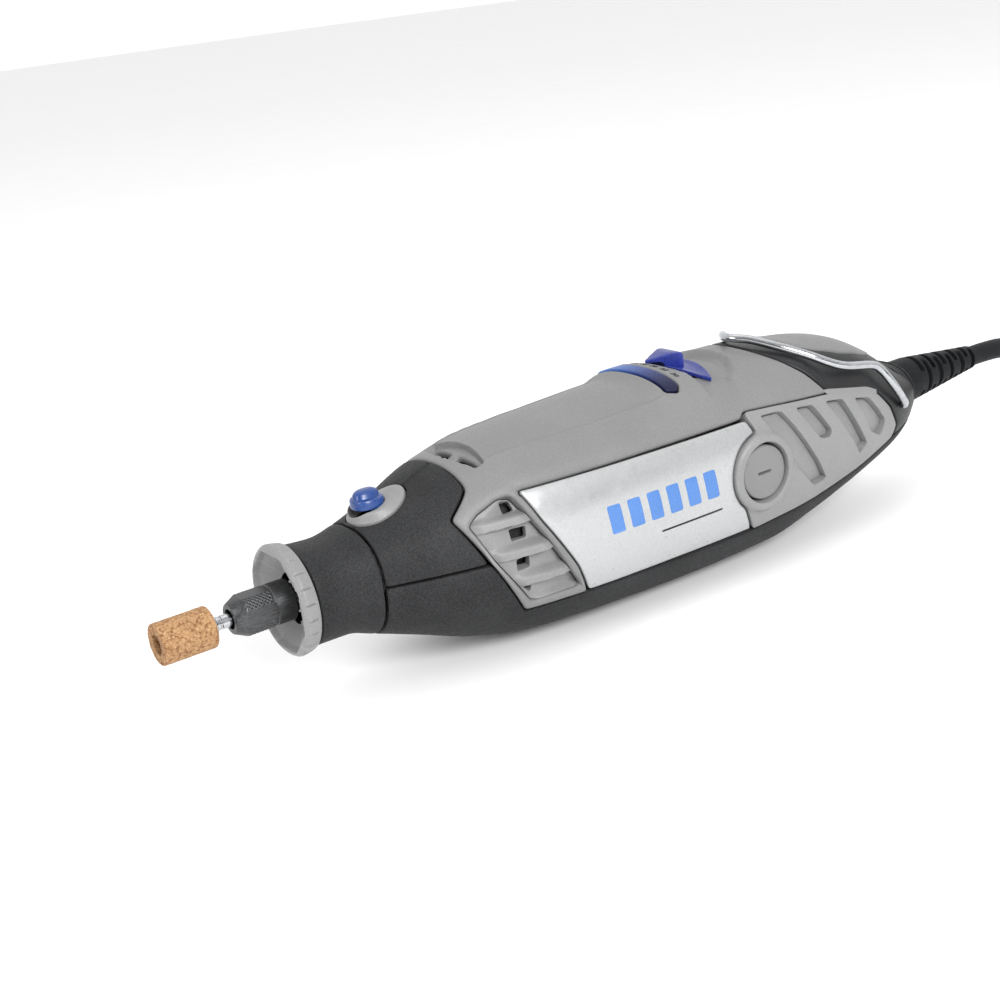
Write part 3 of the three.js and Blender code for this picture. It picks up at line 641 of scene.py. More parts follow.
MOULDED = {
    # name: dark, light, roughness, grain size and strength
    "soft_grip": ((0.009, 0.0092, 0.010), (0.034, 0.0345, 0.036), 0.6, 0.38, 0.8),
    "black_plastic": ((0.008, 0.0083, 0.009), (0.020, 0.0205, 0.022), 0.42, 0.3, 0.3),
    "grey_plastic": ((0.16, 0.16, 0.161), (0.205, 0.205, 0.206), 0.45, 0.32, 0.3),
    "light_grey_plastic": ((0.195, 0.195, 0.196), (0.245, 0.245, 0.246), 0.42, 0.32, 0.25),
    "blue_plastic": ((0.009, 0.036, 0.16), (0.016, 0.058, 0.23), 0.3, 0.5, 0.14),
    "print_blue": ((0.055, 0.16, 0.42), (0.08, 0.2, 0.5), 0.4, 0.4, 0.1),
    "slider_blue": ((0.006, 0.012, 0.13), (0.014, 0.03, 0.25), 0.32, 0.5, 0.14),
    "cord_rubber": ((0.006, 0.0065, 0.0075), (0.014, 0.015, 0.017), 0.5, 0.5, 0.25),
    "carbon": (grey(0.01), grey(0.03), 0.75, 0.3, 0.4),
    "board": ((0.012, 0.09, 0.035), (0.02, 0.14, 0.05), 0.4, 0.8, 0.2),
}
FINISH = {
    "soft_grip": {"edge": 0.12, "shine": 0.2},
    "black_plastic": {"edge": 0.15, "shine": 0.3},
    "grey_plastic": {"shine": 0.35},
    "light_grey_plastic": {"shine": 0.4},
    "blue_plastic": {"coat": 0.1},
    "slider_blue": {"coat": 0.15},
    "cord_rubber": {"edge": 0.12, "shine": 0.12},
}
for look, values in MOULDED.items():
    moulded(look, *values, **FINISH.get(look, {}))
metal("bright_steel", (0.4, 0.415, 0.43), (0.56, 0.57, 0.585), 0.14, strength=0.04)
metal("plain_steel", (0.42, 0.43, 0.44), (0.62, 0.63, 0.64), 0.3)
metal("black_steel", (0.06, 0.061, 0.063), (0.12, 0.121, 0.124), 0.4)
metal("copper", (0.52, 0.17, 0.07), (0.8, 0.36, 0.18), 0.28, (8, 1, 1))
metal("brass", (0.55, 0.38, 0.14), (0.75, 0.56, 0.25), 0.25)
metal("lamination", (0.2, 0.21, 0.22), (0.4, 0.41, 0.42), 0.4, (14, 1, 1))
grit("abrasive_stone")
silver("silver_plate")
scale_blue("scale_blue")


# ---- camera, lights and floor ----------------------------------------------------------------
def camera():
    """The view from the nose end, a little above the tool and tilted with it."""
    azimuth, elevation, roll = math.radians(-32.14), math.radians(18.98), math.radians(-7.57)
    back = Vector((
        math.sin(azimuth) * math.cos(elevation),
        -math.cos(azimuth) * math.cos(elevation),
        math.sin(elevation),
    ))
    data = bpy.data.cameras.new("camera")
    data.lens = 58.32
    data.sensor_width = 36
    data.clip_start = 0.01
    made = bpy.data.objects.new("camera", data)
    made.location = (-0.229391, -0.305472, 0.155704)
    made.rotation_mode = "QUATERNION"
    made.rotation_quaternion = (-back).to_track_quat("-Z", "Y") @ Quaternion((0, 0, 1), roll)
    scene.collection.objects.link(made)
    scene.camera = made


def lamp(name, place, aim, size, power):
    """A round soft lamp that faces a point."""
    data = bpy.data.lights.new(name, "AREA")
    data.shape = "DISK"
    data.size = size
    data.energy = power
    made = bpy.data.objects.new(name, data)
    made.location = place
    made.rotation_mode = "QUATERNION"
    made.rotation_quaternion = (Vector(aim) - Vector(place)).to_track_quat("-Z", "Y")
    scene.collection.objects.link(made)


def studio():
    """A white floor, three soft lamps and a white surround that brightens towards one side."""
    scene.view_settings.view_transform = "Standard"
    world = bpy.data.worlds.new("studio")
    scene.world = world
    world.use_nodes = True
    tree = world.node_tree
    direction = tree.nodes.new("ShaderNodeTexCoord").outputs["Generated"]
    facing = tree.nodes.new("ShaderNodeVectorMath")
    facing.operation = "DOT_PRODUCT"
    facing.inputs[1].default_value = (0.5, 0.8, 0.33)
    spread = tree.nodes.new("ShaderNodeMapRange")
    spread.inputs["From Min"].default_value = -0.7
    spread.inputs["From Max"].default_value = 0.5
    spread.inputs["To Min"].default_value = 0.3
    spread.inputs["To Max"].default_value = 1.12
    tree.links.new(direction, facing.inputs[0])
    tree.links.new(facing.outputs["Value"], spread.inputs["Value"])
    tree.links.new(spread.outputs["Result"], tree.nodes["Background"].inputs["Strength"])
    tree.nodes["Background"].inputs["Color"].default_value = (1, 1, 1, 1)
    lamp("key", (-0.15, -0.95, 0.6), (0, 0, 0.02), 0.5, 12)
    lamp("top", (0.1, 0.15, 1.2), (0, 0, 0), 0.9, 1.2)
    lamp("front", (-0.9, -0.1, 0.4), (-0.1, 0, 0.02), 0.35, 2.5)
    paint = Paint("floor")
    paint.colour(paint.ramp(paint.noise(40, 3), [(0.3, (0.96, 0.96, 0.96)), (0.7, (0.975, 0.975, 0.975))]))
    paint.rough(paint.spread(paint.noise(4, 3), 0.6, 0.7))
    mesh = bpy.data.meshes.new("floor")
    rim = [(FLOOR_RADIUS * math.cos(t), FLOOR_RADIUS * math.sin(t), -0.0004) for t in around(64)]
    mesh.from_pydata(rim, [], [tuple(range(len(rim)))])
    mesh.materials.append(paint.material)
    floor = bpy.data.objects.new("floor", mesh)
    scene.collection.objects.link(floor)


# ---- cord and plug ---------------------------------------------------------------------------
# Points along the lead: from the strain relief to the hank, then from the hank to the plug.
CORD_ROUTE = [
    (223.7, 0, 0), (230, 0, -0.1), (237, 0, -0.6), (244, -0.4, -2.2), (251, -1.3, -5.1),
    (258, -2.8, -9.1), (265, -5, -13.6), (272, -7.8, -17.8), (279, -10.9, -21),
    (286, -14, -22.8), (291.6, -16.4, -23.15), (300, -19.9, -23.0), (308, -22.3, -22.5),
]
TAIL_ROUTE = [
    (385.6, -22.7, -7.3), (393, -21.6, -9.2), (400, -19.8, -11.8), (407, -17.4, -14.5),
    (414, -14.6, -16.8), (421, -11.9, -18.4), (427, -10.3, -18.8), (432.4, -10, -18.8),
]


def hank_line():
    """The folded length: seven and a half turns, two wide and four deep.

    Each turn crosses to the next place on the +Y side, the lowest one last.
    """
    near, far = HANK["near"], HANK["far"]
    places = []
    for level in range(4):
        radii = [HANK["outer"], HANK["inner"]]
        for radius in radii if level % 2 == 0 else reversed(radii):
            places.append((radius, CORD_RADIUS - AXIS_HEIGHT + HANK["lift"] + HANK["rise"] * level))
    line = []
    for i, (radius, z) in enumerate(places):
        line += [(x, -radius, z) for x in np.linspace(near, far, 14)]
        if i == len(places) - 1:
            break
        for turn in np.linspace(-math.pi / 2, math.pi / 2, 17)[1:-1]:
            line.append((far + radius * math.cos(turn), radius * math.sin(turn), z))
        next_radius, next_z = places[i + 1]
        start = 5 * (6 - i) + 1
        for back in np.linspace(0, far - near, 14):
            part = float(ease(start, start + 18, back))
            line.append((far - back, radius + (next_radius - radius) * part, z + (next_z - z) * part))
        for turn in np.linspace(math.pi / 2, 3 * math.pi / 2, 17)[1:-1]:
            line.append((near + next_radius * math.cos(turn), next_radius * math.sin(turn), next_z))
    return line


def cord():
    """The mains lead: out of the strain relief, down to the table, folded up and into its plug."""
    line = smooth_line([*CORD_ROUTE, *hank_line(), *TAIL_ROUTE], 2.4)
    placed = (line + ORIGIN) * MM
    data = bpy.data.curves.new("power_lead", "CURVE")
    data.dimensions = "3D"
    data.bevel_depth = CORD_RADIUS * MM
    data.bevel_resolution = 5
    data.use_fill_caps = True
    spline = data.splines.new("POLY")
    spline.points.add(len(placed) - 1)
    for point, at in zip(spline.points, placed):
        point.co = (*at, 1)
    spline.use_smooth = True
    data.materials.append(LOOKS["cord_rubber"])
    lead = bpy.data.objects.new("power_lead", data)
    scene.collection.objects.link(lead)
    length = float(np.linalg.norm(np.diff(placed, axis=0), axis=1).sum())
    return lead, placed, length


def plug():
    """A moulded two-pin plug with finger grips and a ribbed tail."""
    stations = [
        (0, 3.6, 3.6), (0.4, 4.6, 4.2), (2, 5.0, 4.4), (2.4, 4.4, 4.2), (3.2, 4.4, 4.2),
        (3.6, 5.2, 4.6), (5.4, 5.4, 4.7), (5.8, 4.7, 4.5), (6.6, 4.7, 4.5), (7, 5.6, 4.8),
        (8.8, 5.8, 4.9), (9.2, 5.0, 4.8), (10, 5.0, 4.8), (11, 6.2, 5.0), (13, 7.6, 5.3),
        (16, 9.4, 5.6), (20, 12.4, 5.9), (25, 15.0, 6.7), (31, 15.5, 7.1), (36, 15.5, 7.1),
        (37.4, 15.2, 6.8), (38, 14.6, 6.2),
    ]
    turn = around(64)
    across, upward = (np.sign(v) * np.abs(v) ** 0.72 for v in (np.cos(turn), np.sin(turn)))
    rows = []
    for x, wide, high in stations:
        back = np.full(len(turn), PLUG["back"] + x)
        ring = [back, PLUG["y"] + wide * across, PLUG["z"] + high * upward]
        rows.append(np.stack(ring, axis=-1))
    return piece("plug", grid(rows), "cord_rubber", ["plug_body"])


def hank_tie():
    """A flat strap round the middle of the hank."""
    middle = (HANK["near"] + HANK["far"]) / 2
    half = HANK["outer"] + CORD_RADIUS + 0.1
    low = -AXIS_HEIGHT + 0.75
    high = -AXIS_HEIGHT + HANK["lift"] + 2 * CORD_RADIUS + 3 * HANK["rise"] + 0.1
    outline = fillet([(half, low), (half, high), (-half, high), (-half, low)], 4.0, steps=8)
    outer = moved(turned_to(outline, 1), -0.7)
    rows = []
    for x, loop in ((-6, outline), (-6, outer), (6, outer), (6, outline)):
        rows.append(np.column_stack([np.full(len(loop), middle + x), turned_to(loop, 1)]))
    return piece("hank_tie", grid(rows, closed=True), "black_plastic")


camera()
studio()
lead, lead_path, lead_length = cord()
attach(lead, "housing")
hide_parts("power_cord", "cord_hank", "cord_tail")
plug_piece = plug()
tie = hank_tie()


# ---- nose, nut and stone ---------------------------------------------------------------------
def nose_cap():
    """The screw-on ring: slots round its rim, an eight-sided funnel for a face, a notched bore."""
    face, back, bore = CAP["face"], CAP["back"], CAP["bore"]
    profile = [
        (back, bore), (back - 0.3, bore), *[(face, r) for r in np.linspace(6.1, 11.6, 20)],
        (-0.4, 11.9), (-0.15, 12.25), (0.2, 12.6),
        (0.6, 12.85), (0.9, 12.9), (1.25, 12.86), (1.5, 12.82), (2.2, 12.7), (2.5, 12.64), (2.7, 12.6),
        (3.2, 12.45), (3.45, 12.35), (back, 12.1), (back, CAP["thread"]),
    ]

    def shape(x, radius, turn):
        side = (turn + math.pi / 8) % (math.pi / 4) - math.pi / 8
        inward = np.clip(CAP["dish"] - radius * np.cos(side), 0, 5)
        dish = (0.9 * ease(0.0, 0.7, inward) + 0.62 * inward) * (x < face + 0.05)
        pitch = 2 * math.pi / CAP["slots"]
        part = (turn % pitch) / pitch
        band = (x > 0.55) & (x < 2.6) & (radius > 11.9)
        slot = ease(0.0, 0.04, part) * (1 - ease(0.04, 0.2, part))
        notch = np.maximum(np.abs(np.cos(turn)) - 0.955, 0) / 0.045
        bore = np.where(radius < 6.2, 1.3 * np.sqrt(notch), 0)
        return x + dish, radius + bore - np.where(band, 0.35 * slot, 0)

    made = lathe(profile, 396, shape, closed=True)
    piece("nose_ring", made, "light_grey_plastic", ["nose_cap"], "nose_cap")


def neck():
    """The collar of the housing behind the nose cap."""
    turn = around(128)

    def outer(x, inset):
        ring = skin(np.full(len(turn), x), turn)
        centre = ring * [1, 0, 0]
        away = ring - centre
        length = np.linalg.norm(away, axis=1)[:, None]
        return centre + away * (1 - inset / length)

    front, back, bore = NECK["front"], NECK["back"], NECK["bore"]
    rows = [circle(front, bore, turn), outer(front, 0.5), outer(4.1, 0.15), outer(4.5, 0)]
    rows += [outer(x, 0) for x in np.linspace(5.5, back - 0.9, 14)]
    rows += [outer(back - 0.45, 0.06), outer(back - 0.15, 0.25), outer(back, 0.6)]
    rows += [circle(back, bore, turn)]
    piece("neck", grid(rows, closed=True), "soft_grip", ["neck_housing"])


def collet_nut():
    """Blackened nut: coned front, four spanner flats and knurling between them."""
    front, back, r = NUT["front"], NUT["back"], NUT["radius"]
    mouth, inside = NUT["mouth"], NUT["inside"]
    cone = [(front, mouth), (front, 3.3), (-11.95, 3.5), (-9.75, 4.6), (-9.5, r)]
    knurled = [(x, r) for x in np.arange(-9.3, -3.2, 0.14)]
    rear = [(-3.1, r), (-2.9, 4.6), (-2.6, 4.6), (-2.4, r), (1.9, r), (back, 4.5), (back, inside)]
    profile = [*cone, *knurled, *rear, (-9.2, inside), (-9.2, mouth)]

    def shape(x, radius, turn):
        side = (turn + math.pi / 4) % (math.pi / 2) - math.pi / 4
        flat = np.where((x < -2.5) & (radius > 4), NUT["flat"] / np.cos(side), 99)
        on_round = (flat > radius + 0.03) & (x > -9.4) & (x < -3.2) & (radius > 4)
        run = x * 2 * math.pi / 0.95
        lean = turn * NUT["knurls"]
        knurl = 0.07 * (np.cos(run + lean) + np.cos(run - lean))
        return x, np.minimum(radius + np.where(on_round, knurl, 0), flat)

    made = lathe(profile, 360, shape, closed=True)
    piece("nut", made, "black_steel", ["collet_nut"], "collet_nut", sharp=30)


def stone():
    """The cylindrical grinding stone, rough all over, with a blind hole in its front face."""
    front, back, radius = STONE["front"], STONE["back"], STONE["radius"]
    hole, floor = STONE["hole"], STONE["front"] + STONE["depth"]
    profile = [(floor, r) for r in (0.01, 0.7, 1.4)]
    profile += [(floor + (front - floor) * t, hole) for t in np.linspace(0, 0.95, 9)]
    profile += [(front, r) for r in np.linspace(hole + 0.12, radius - 0.35, 9)]
    profile += [(front + 0.1, radius - 0.12)]
    profile += [(x, radius) for x in np.linspace(front + 0.35, back - 0.35, 46)]
    profile += [(back - 0.1, radius - 0.12)]
    profile += [(back, r) for r in np.linspace(radius - 0.35, 0.01, 8)]
    points, faces = lathe(profile, 120)
    rng = np.random.default_rng(7)
    rough = rng.normal(0, 0.035, points.shape)
    points = points + np.clip(rough, -0.08, 0.08)
    piece("stone", (points, faces), "abrasive_stone", ["grinding_stone"], "bit", sharp=80)


def shank():
    """The bit's polished steel shank, with a waist and a shoulder where it enters the stone."""
    r = SHANK_RADIUS
    profile = [
        (-16.5, 0.01), (-16.5, 2.1), (-16.35, 2.25), (-15.9, 2.25), (-15.75, 2.1), (-15.6, r),
        (-14.9, r), (-14.75, r - 0.16), (-14.45, r - 0.16), (-14.3, r), (8.6, r), (9, r - 0.35), (9, 0.01),
    ]
    piece("shank", lathe(profile, 64), "bright_steel", ["bit_shank"], "bit")


nose_cap()
neck()
collet_nut()
stone()
shank()


# ---- housing ---------------------------------------------------------------------------------
BELLY_CENTRE = math.pi * UNROLL


def grip_upper():
    """The soft front grip's upper half, with a raised line along its crown."""
    line = [(19.3, 11.95), (19.3, 0.15), (41.9, 0.15), (36.1, 11.4), (42.4, 16.6), (42.4, 19.9)]
    outline = both_sides(line, 0.0, 0.9)
    bezel = top_loop(ellipse(BEZEL["x"], 0, BEZEL["length"], BEZEL["width"]), 0.1, 0.6)

    def relief(plane):
        px, v = plane.T
        return 0.35 * (1 - ease(0.12, 0.5, np.abs(v))) * ease(34, 35, px)

    made = patch([outline, bezel], relief, pitch=1.3, fine=[(33, 43, -1.2, 1.2, 0.25)], edge=0.45)
    piece("grip_upper", made, "soft_grip", ["front_grip_upper"])


def lower_shell():
    """The dark lower half of the housing, from the front grip to the tail."""
    seam = [(x, z - 0.3) for x, z in SEAM]
    line = [(19.3, -0.15), (42.5, -0.15), (50.6, -14.9), *seam, (173.2, -7.0), (188.8, -5.3)]
    outline = both_sides(line, BELLY_CENTRE, 1.0)
    holes = []
    for x in BELLY_SCREWS["stations"]:
        ring = ellipse(x, 0, BELLY_SCREWS["hole"], BELLY_SCREWS["hole"], 24)
        angle = np.pi - np.arctan2(ring[:, 1], 26.0)
        holes.append(np.stack([ring[:, 0], UNROLL * angle], axis=-1))
    made = patch([outline, *holes], pitch=1.7, edge=0.5, wall=2.0)
    piece("lower_shell", made, "soft_grip", ["lower_housing"])


def crease(px):
    """Half width of the flat crown along the tool."""
    return np.interp(px, (51.5, 64.8, 81.5, 100.5), (10.5, 12.3, 13.3, 13.8))


def pad_rise(plane):
    """How far the control area stands above the crown, most of all under the speed band."""
    px, y = plane[:, 0], plane_to_y(plane)
    across = 1 - ease(11, 19, np.abs(y))
    return across * (1.7 * ease(97, 102, px) - 1.0 * ease(105, 112, px) - 0.7 * ease(120, 132, px))


def upper_relief(plane):
    """The crown's step and bead, the front vent's scoop and the slider's dish and track."""
    px = plane[:, 0]
    y = np.abs(plane_to_y(plane))
    crown = 0.38 * ease(-0.35, 0.35, crease(px) - y) * ease(49.5, 51, px) * (1 - ease(100.2, 101.4, px))
    rear = 51.4 - 0.012 * y**2
    front = 45.0 + 0.02 * y**2
    scoop = ease(0, 0.4, px - front) * ease(-0.05, 0.3, rear - px)
    floor = 2.7 - 1.3 * np.clip((px - front) / (rear - front), 0, 1)
    vent = scoop * floor * ease(0, 0.8, 11.2 - y)
    dish_x, dish_y = (px - 119.4) / 9.2, y / 15
    dish = 2.0 * (1 - ease(0.66, 1.0, dish_x**2 + dish_y**2))
    z = plane_to_z(plane)
    above = z - np.interp(px, (52.6, 117.4), (14.2, 13.9))
    lip = 0.5 * (1 - ease(0.1, 1.6, above)) * (z > 13) * ease(50, 53, px) * (1 - ease(117, 119, px))
    bead = 0.22 * (1 - ease(0.1, 0.55, np.abs(crease(px) - y))) * ease(49.5, 51, px)
    bead = bead * (1 - ease(99.5, 101, px))
    made = pad_rise(plane) + bead - crown - vent - dish - lip
    under_lens = SLIDER["radius"] - 1.15 - np.hypot(y, z - SLIDER["z"])
    track = ease(111.9, 112.5, px) * (1 - ease(120.6, 121.2, px)) * (1 - ease(19, 20, y))
    return made + track * np.minimum(under_lens - made, 0)


def upper_shell():
    """The grey upper housing, open where the side plates, panels and grilles sit."""
    line = [(LIP_X, 19.95), *FRONT_EDGE, (67.0, -14.75)]
    line += [*reversed(PLATE_FRONT[:-1]), (117.3, 13.9), (118.2, 15.3), *PANEL_TOP[1:5]]
    line += [(166.6, 7.6), (161.5, 9.9), (147, 12.9), (142.8, 18.4), (139, 21.8), (BAND_X, 24.85)]
    outline = both_sides(line, 0.0, 1.0, 0.8)
    grille = side_loop(GRILLE, 0.8, 0.7)
    vent = top_loop([(45.5, 1.6), (48.6, 1.6), (48.9, 7.8), (48.7, 9.7), (47.3, 9.7)], 0.4, 0.5)
    slot = top_loop([(114.4, -8.5), (117.6, -8.5), (117.6, 8.5), (114.4, 8.5)], 0.5, 0.8)
    pad = top_loop(scale_outline(), 0.5, 0.6)
    fine = [
        (43.6, 53, -15, 15, 0.36), (53, 101.6, 8.6, 15.5, 0.42), (53, 101.6, -15.5, -8.6, 0.42),
        (99.5, 102, -9, 9, 0.4), (109, 129.5, -17, 17, 0.75),
    ]
    loops = [outline, grille, grille * OTHER_SIDE, vent, vent * OTHER_SIDE, slot, pad]
    made = patch(loops, upper_relief, wall=3.4, edge=0.8, pitch=1.6, fine=fine)
    piece("upper_shell", made, "grey_plastic", ["upper_housing"])


def scale_outline():
    """Plan of the printed speed band."""
    return [(101.3, -13.3), (104.2, -14.2), (105.7, -12.6), (105.7, 12.6), (104.2, 13.6), (101.3, 12.8)]


def speed_scale():
    """The printed band across the control area, just below the skin round it."""
    made = patch([top_loop(scale_outline(), 0.5, 0.6)], lambda plane: pad_rise(plane) - 0.12,
                 wall=1.2, edge=0.15, pitch=0.9)
    piece("speed_band", made, "scale_blue", ["speed_scale"], slot="blue_plastic")


def plate_bars():
    """A plain row of printed bars on the right-hand plate, with a thin line under its end."""
    def bar(x, wide, low, high, lean):
        outline = [(x, low), (x + wide, low), (x + wide - lean, high), (x - lean, high)]
        return patch([side_loop(outline, 0.3, 0.5)], even(-0.26), wall=0.5,
                     edge=0.03, pitch=1.2, shrink=0.0)

    bars = [bar(73.5 + 5.7 * i, 3.7, -1.8, 5.2, 0.9) for i in range(6)]
    made = mirrored(together(*bars))
    piece("plate_bars", made, "print_blue", slot="blue_plastic")
    made = mirrored(bar(87.5, 19, -5.6, -5.1, 0.1))
    piece("plate_line", made, "black_plastic")


def boss_arc():
    """The plates' and panels' edge round the front of the brush boss."""
    radius = BRUSH["boss"] + GAP
    return [
        (BRUSH["x"] + radius * math.cos(math.radians(a)), radius * math.sin(math.radians(a)))
        for a in np.linspace(232, 108, 9)
    ]


def side_plates():
    """The silver side plates, lapping round the front of the brush boss."""
    outline = [*PLATE_FRONT[:-1], (67.2, -14.62), (117.2, -14.7), *boss_arc(), (119.6, 10.0), (118.1, 13.6)]
    made = patch([side_loop(outline, 0.7)], even(-0.3), edge=0.5, pitch=1.5)
    pair("plate", made, "silver_plate", "side_plate")


def grilles():
    """The front side vents: louvres that step out downwards, with square holes under them."""
    holes = [
        [(48.0, 13.1), (50.5, 13.2), (51.0, 10.7), (48.2, 10.3)],
        [(48.5, 6.3), (52.7, 6.1), (52.4, 3.3), (48.6, 3.4)],
        [(48.8, -1.2), (52.4, -1.1), (52.1, -3.9), (48.7, -3.8)],
        [(49.8, -8.3), (52.0, -8.4), (51.5, -10.2)],
    ]
    undersides = np.array([14.6, 7.0, -0.6, -7.8, -14.2])

    def relief(plane):
        px, z = plane[:, 0], plane_to_z(plane)
        left = np.interp(z, (-12.2, 0.6, 9.4, 13.7), (51.7, 43.4, 39.4, 48.0))
        right = np.interp(z, (-12.2, -7.4, -0.6, 7.2, 13.7), (64.6, 61.8, 58.2, 53.8, 50.6))
        rim = np.minimum(px - left, right - px)
        deep = 1.3 + 1.7 * ease(0.1, 0.75, (px - left) / (right - left))
        cell = np.clip(np.searchsorted(-undersides, -z, side="right") - 1, 0, 3)
        t = (undersides[cell] - z) / (undersides[cell] - undersides[cell + 1])
        rise = ease(0.5, 0.76, t) * (1 - ease(0.955, 1.0, t))
        crest = 0.15 + 0.7 * (1 - ease(0.0, 2.2, rim))
        return -(deep + (crest - deep) * rise)

    loops = [side_loop(GRILLE, 0.8, 0.6), *[side_loop(hole, 0.25, 0.4) for hole in holes]]
    made = patch(loops, relief, wall=4.6, edge=0.12, pitch=0.33, shrink=0.03)
    pair("grille", made, "light_grey_plastic", "front_grille")


def painted_shade_liners():
    """Dark sheets behind the vents' holes: painted shade standing in for the shadowed inside of the tool."""
    side = side_loop([(46, 14.5), (54.5, 14.5), (54.5, -11.5), (46, -11.5)], 1.5)
    crown = top_loop([(44.5, -11), (50.5, -11), (50.5, 11), (44.5, 11)], 1.5)
    side, crown = (patch([loop], even(-6.2), wall=6.7, edge=0.1, pitch=2.0) for loop in (side, crown))
    # painted shade: the darkest look, so the vent holes read black
    piece("painted_shade_liners", together(side, mirrored(side), crown), "carbon", slot="black_plastic")


# Side-view outlines of the finger pockets, each with its depth, and of the slits in each.
PANEL_POCKETS = [
    ([(122.6, 13.2), (129.2, 12.7), (132, 8.6), (135.5, 3.1), (139, -2.3), (142.5, -8.5), (138, -8.9),
      (131.8, -2.1), (128.8, 3.7), (125, 9.2)], 1.0),
    ([(134.4, 12.1), (140, 11.3), (142.2, 8), (145.1, 3.6), (144.5, 2.4), (141.2, 2.7), (138.2, 6.3)], 1.15),
    ([(145, 10.9), (151.2, 9.8), (154.5, 3.8), (157, -0.4), (159.2, -4.2), (156.2, -6), (155, -3.6),
      (149.8, 3.8)], 1.15),
    ([(156, 8.8), (161.8, 7.2), (164.8, 3.6), (167.8, -0.3), (167, -2.2), (165.2, -3.7), (161, -1.1),
      (158, 5)], 1.0),
]
PANEL_SLITS = [
    [],
    [[(135.3, 11.3), (136.0, 11.2), (138.5, 7.5), (137.9, 7.4)],
     [(138.9, 6.1), (139.6, 6.2), (141.9, 3.4), (141.2, 3.3)]],
    [[(146, 10.2), (146.7, 10.1), (151, 3.7), (155.9, -3.3), (155.3, -3.4), (150.3, 3.8)]],
    [],
]


def panel_relief(plane):
    """The raised boss round the brush cap."""
    ring = np.hypot(plane[:, 0] - BRUSH["x"], plane_to_z(plane))
    boss = (BRUSH["face"] + 0.35 - plane_to_y(plane)) * (1 - ease(8.6, 10.4, ring))
    return np.where(ring < 10.5, np.maximum(0, boss), 0)


def pocket_floor(outline, depth, slits):
    """A pocket's floor, sloping down to the slits along its front."""
    front = min(x for x, _ in outline)

    def relief(plane):
        return -depth - 0.5 * ease(10, 0, plane[:, 0] - front)

    loops = [side_loop(outline, 0.5, 0.6), *[side_loop(slit, 0.2, 0.4) for slit in slits]]
    return patch(loops, relief, wall=depth + 1.6, edge=0.08, pitch=0.9, shrink=-0.05)


def rear_panels():
    """The finger panels behind the plates: a brush boss, then four pockets with slits."""
    outline = [(117.5, -14.8), *boss_arc(), (119.9, 10.2), (118.4, 13.8), *PANEL_TOP, (172.3, -6.9),
               (157.5, -10.5), (140, -13.1)]
    cap_hole = side_loop(ellipse(BRUSH["x"], 0, BRUSH["hole"], BRUSH["hole"]), 0.05, 0.5)
    pockets = [side_loop(polygon, 0.6, 0.6) for polygon, _ in PANEL_POCKETS]
    fine = [(109, 134, 25, 47, 0.6)]
    made = patch([side_loop(outline, 0.9), cap_hole, *pockets], panel_relief, wall=3.2, edge=0.22,
                 pitch=1.0, fine=fine)
    floors = [
        pocket_floor(polygon, 1.7 * depth, slits)
        for (polygon, depth), slits in zip(PANEL_POCKETS, PANEL_SLITS)
    ]
    made = together(made, *floors)
    pair("panel", made, "light_grey_plastic", "rear_panel")


CAP_FACE = 25.15  # distance across of the brush caps' outer face


def brush_caps():
    """The round screw caps over the motor brushes, each with a coin slot."""
    for name, side in (("left", 1), ("right", -1)):
        def lift(plane, height, side=side):
            y = side * (CAP_FACE + np.reshape(height, -1))
            return np.stack([plane[:, 0], y, plane[:, 1]], axis=-1)

        def relief(plane):
            along_slot = np.abs(plane[:, 0] - BRUSH["x"])
            across_slot = np.abs(plane[:, 1])
            slot = (1 - ease(0.22, 0.38, across_slot)) * (1 - ease(1.9, 2.1, along_slot))
            dome = 0.25 * (1 - np.hypot(along_slot, across_slot) / BRUSH["cap"])
            return dome - 1.3 * slot

        rim = ellipse(BRUSH["x"], 0, BRUSH["cap"], BRUSH["cap"], 96)
        made = patch([rim], relief, wall=2.8, edge=0.35, pitch=0.3, lift=lift, shrink=0.0)
        piece(f"cap_{name}", made, "grey_plastic", [f"brush_cap_{name}"], f"brush_cap_{name}")


def tail_drop(plane):
    """How far the tail's crown lies below the even outline."""
    crown = ease(0.1, 0.8, np.cos(plane[:, 1] / UNROLL))
    return -crown * (0.9 * ease(143, 152, plane[:, 0]) + 1.1 * ease(163, 178, plane[:, 0]))


def rear_shell():
    """The black tail cover that wraps over the back of the tool."""
    line = [(BAND_X + 0.3, 24.85), *reversed(REAR_EDGE), (172.9, -6.6), (188.8, -4.9), (188.8, 7.3)]
    outline = both_sides(line, 0.0, 1.0)
    hump = top_loop([*HUMP, *[(x, -y) for x, y in reversed(HUMP[1:-1])]], 2.0, 0.8)
    made = patch([outline, hump], tail_drop, pitch=1.6, edge=0.5, wall=3.6)
    piece("rear_shell", made, "black_plastic", ["rear_cover"])
    made = patch([hump], lambda plane: tail_drop(plane) + 0.25, pitch=1.5, edge=0.7, wall=3.6)
    piece("rear_hump", made, "grey_plastic", ["rear_top_cover"])


def tail_collar():
    """The ring that closes the housing's end round the strain relief."""
    turn = around(96)
    rim = skin(np.full(len(turn), BODY_END), turn)
    rows = [circle(x, radius, turn) for x, radius in ((186.6, 7.3), (186.6, 6.5), (189.6, 6.5))]
    for x, size in ((189.5, 0.93), (189.3, 0.98), (188.9, 1.0), (188.8, 0.97), (186.6, 0.97)):
        rows.append(rim * [0, size, size] + [x, 0, 0])
    piece("tail_collar", grid(rows, closed=True), "black_plastic")


grip_upper()
lower_shell()
upper_shell()
speed_scale()
side_plates()
plate_bars()
painted_shade_liners()
grilles()
rear_panels()
brush_caps()
rear_shell()
tail_collar()


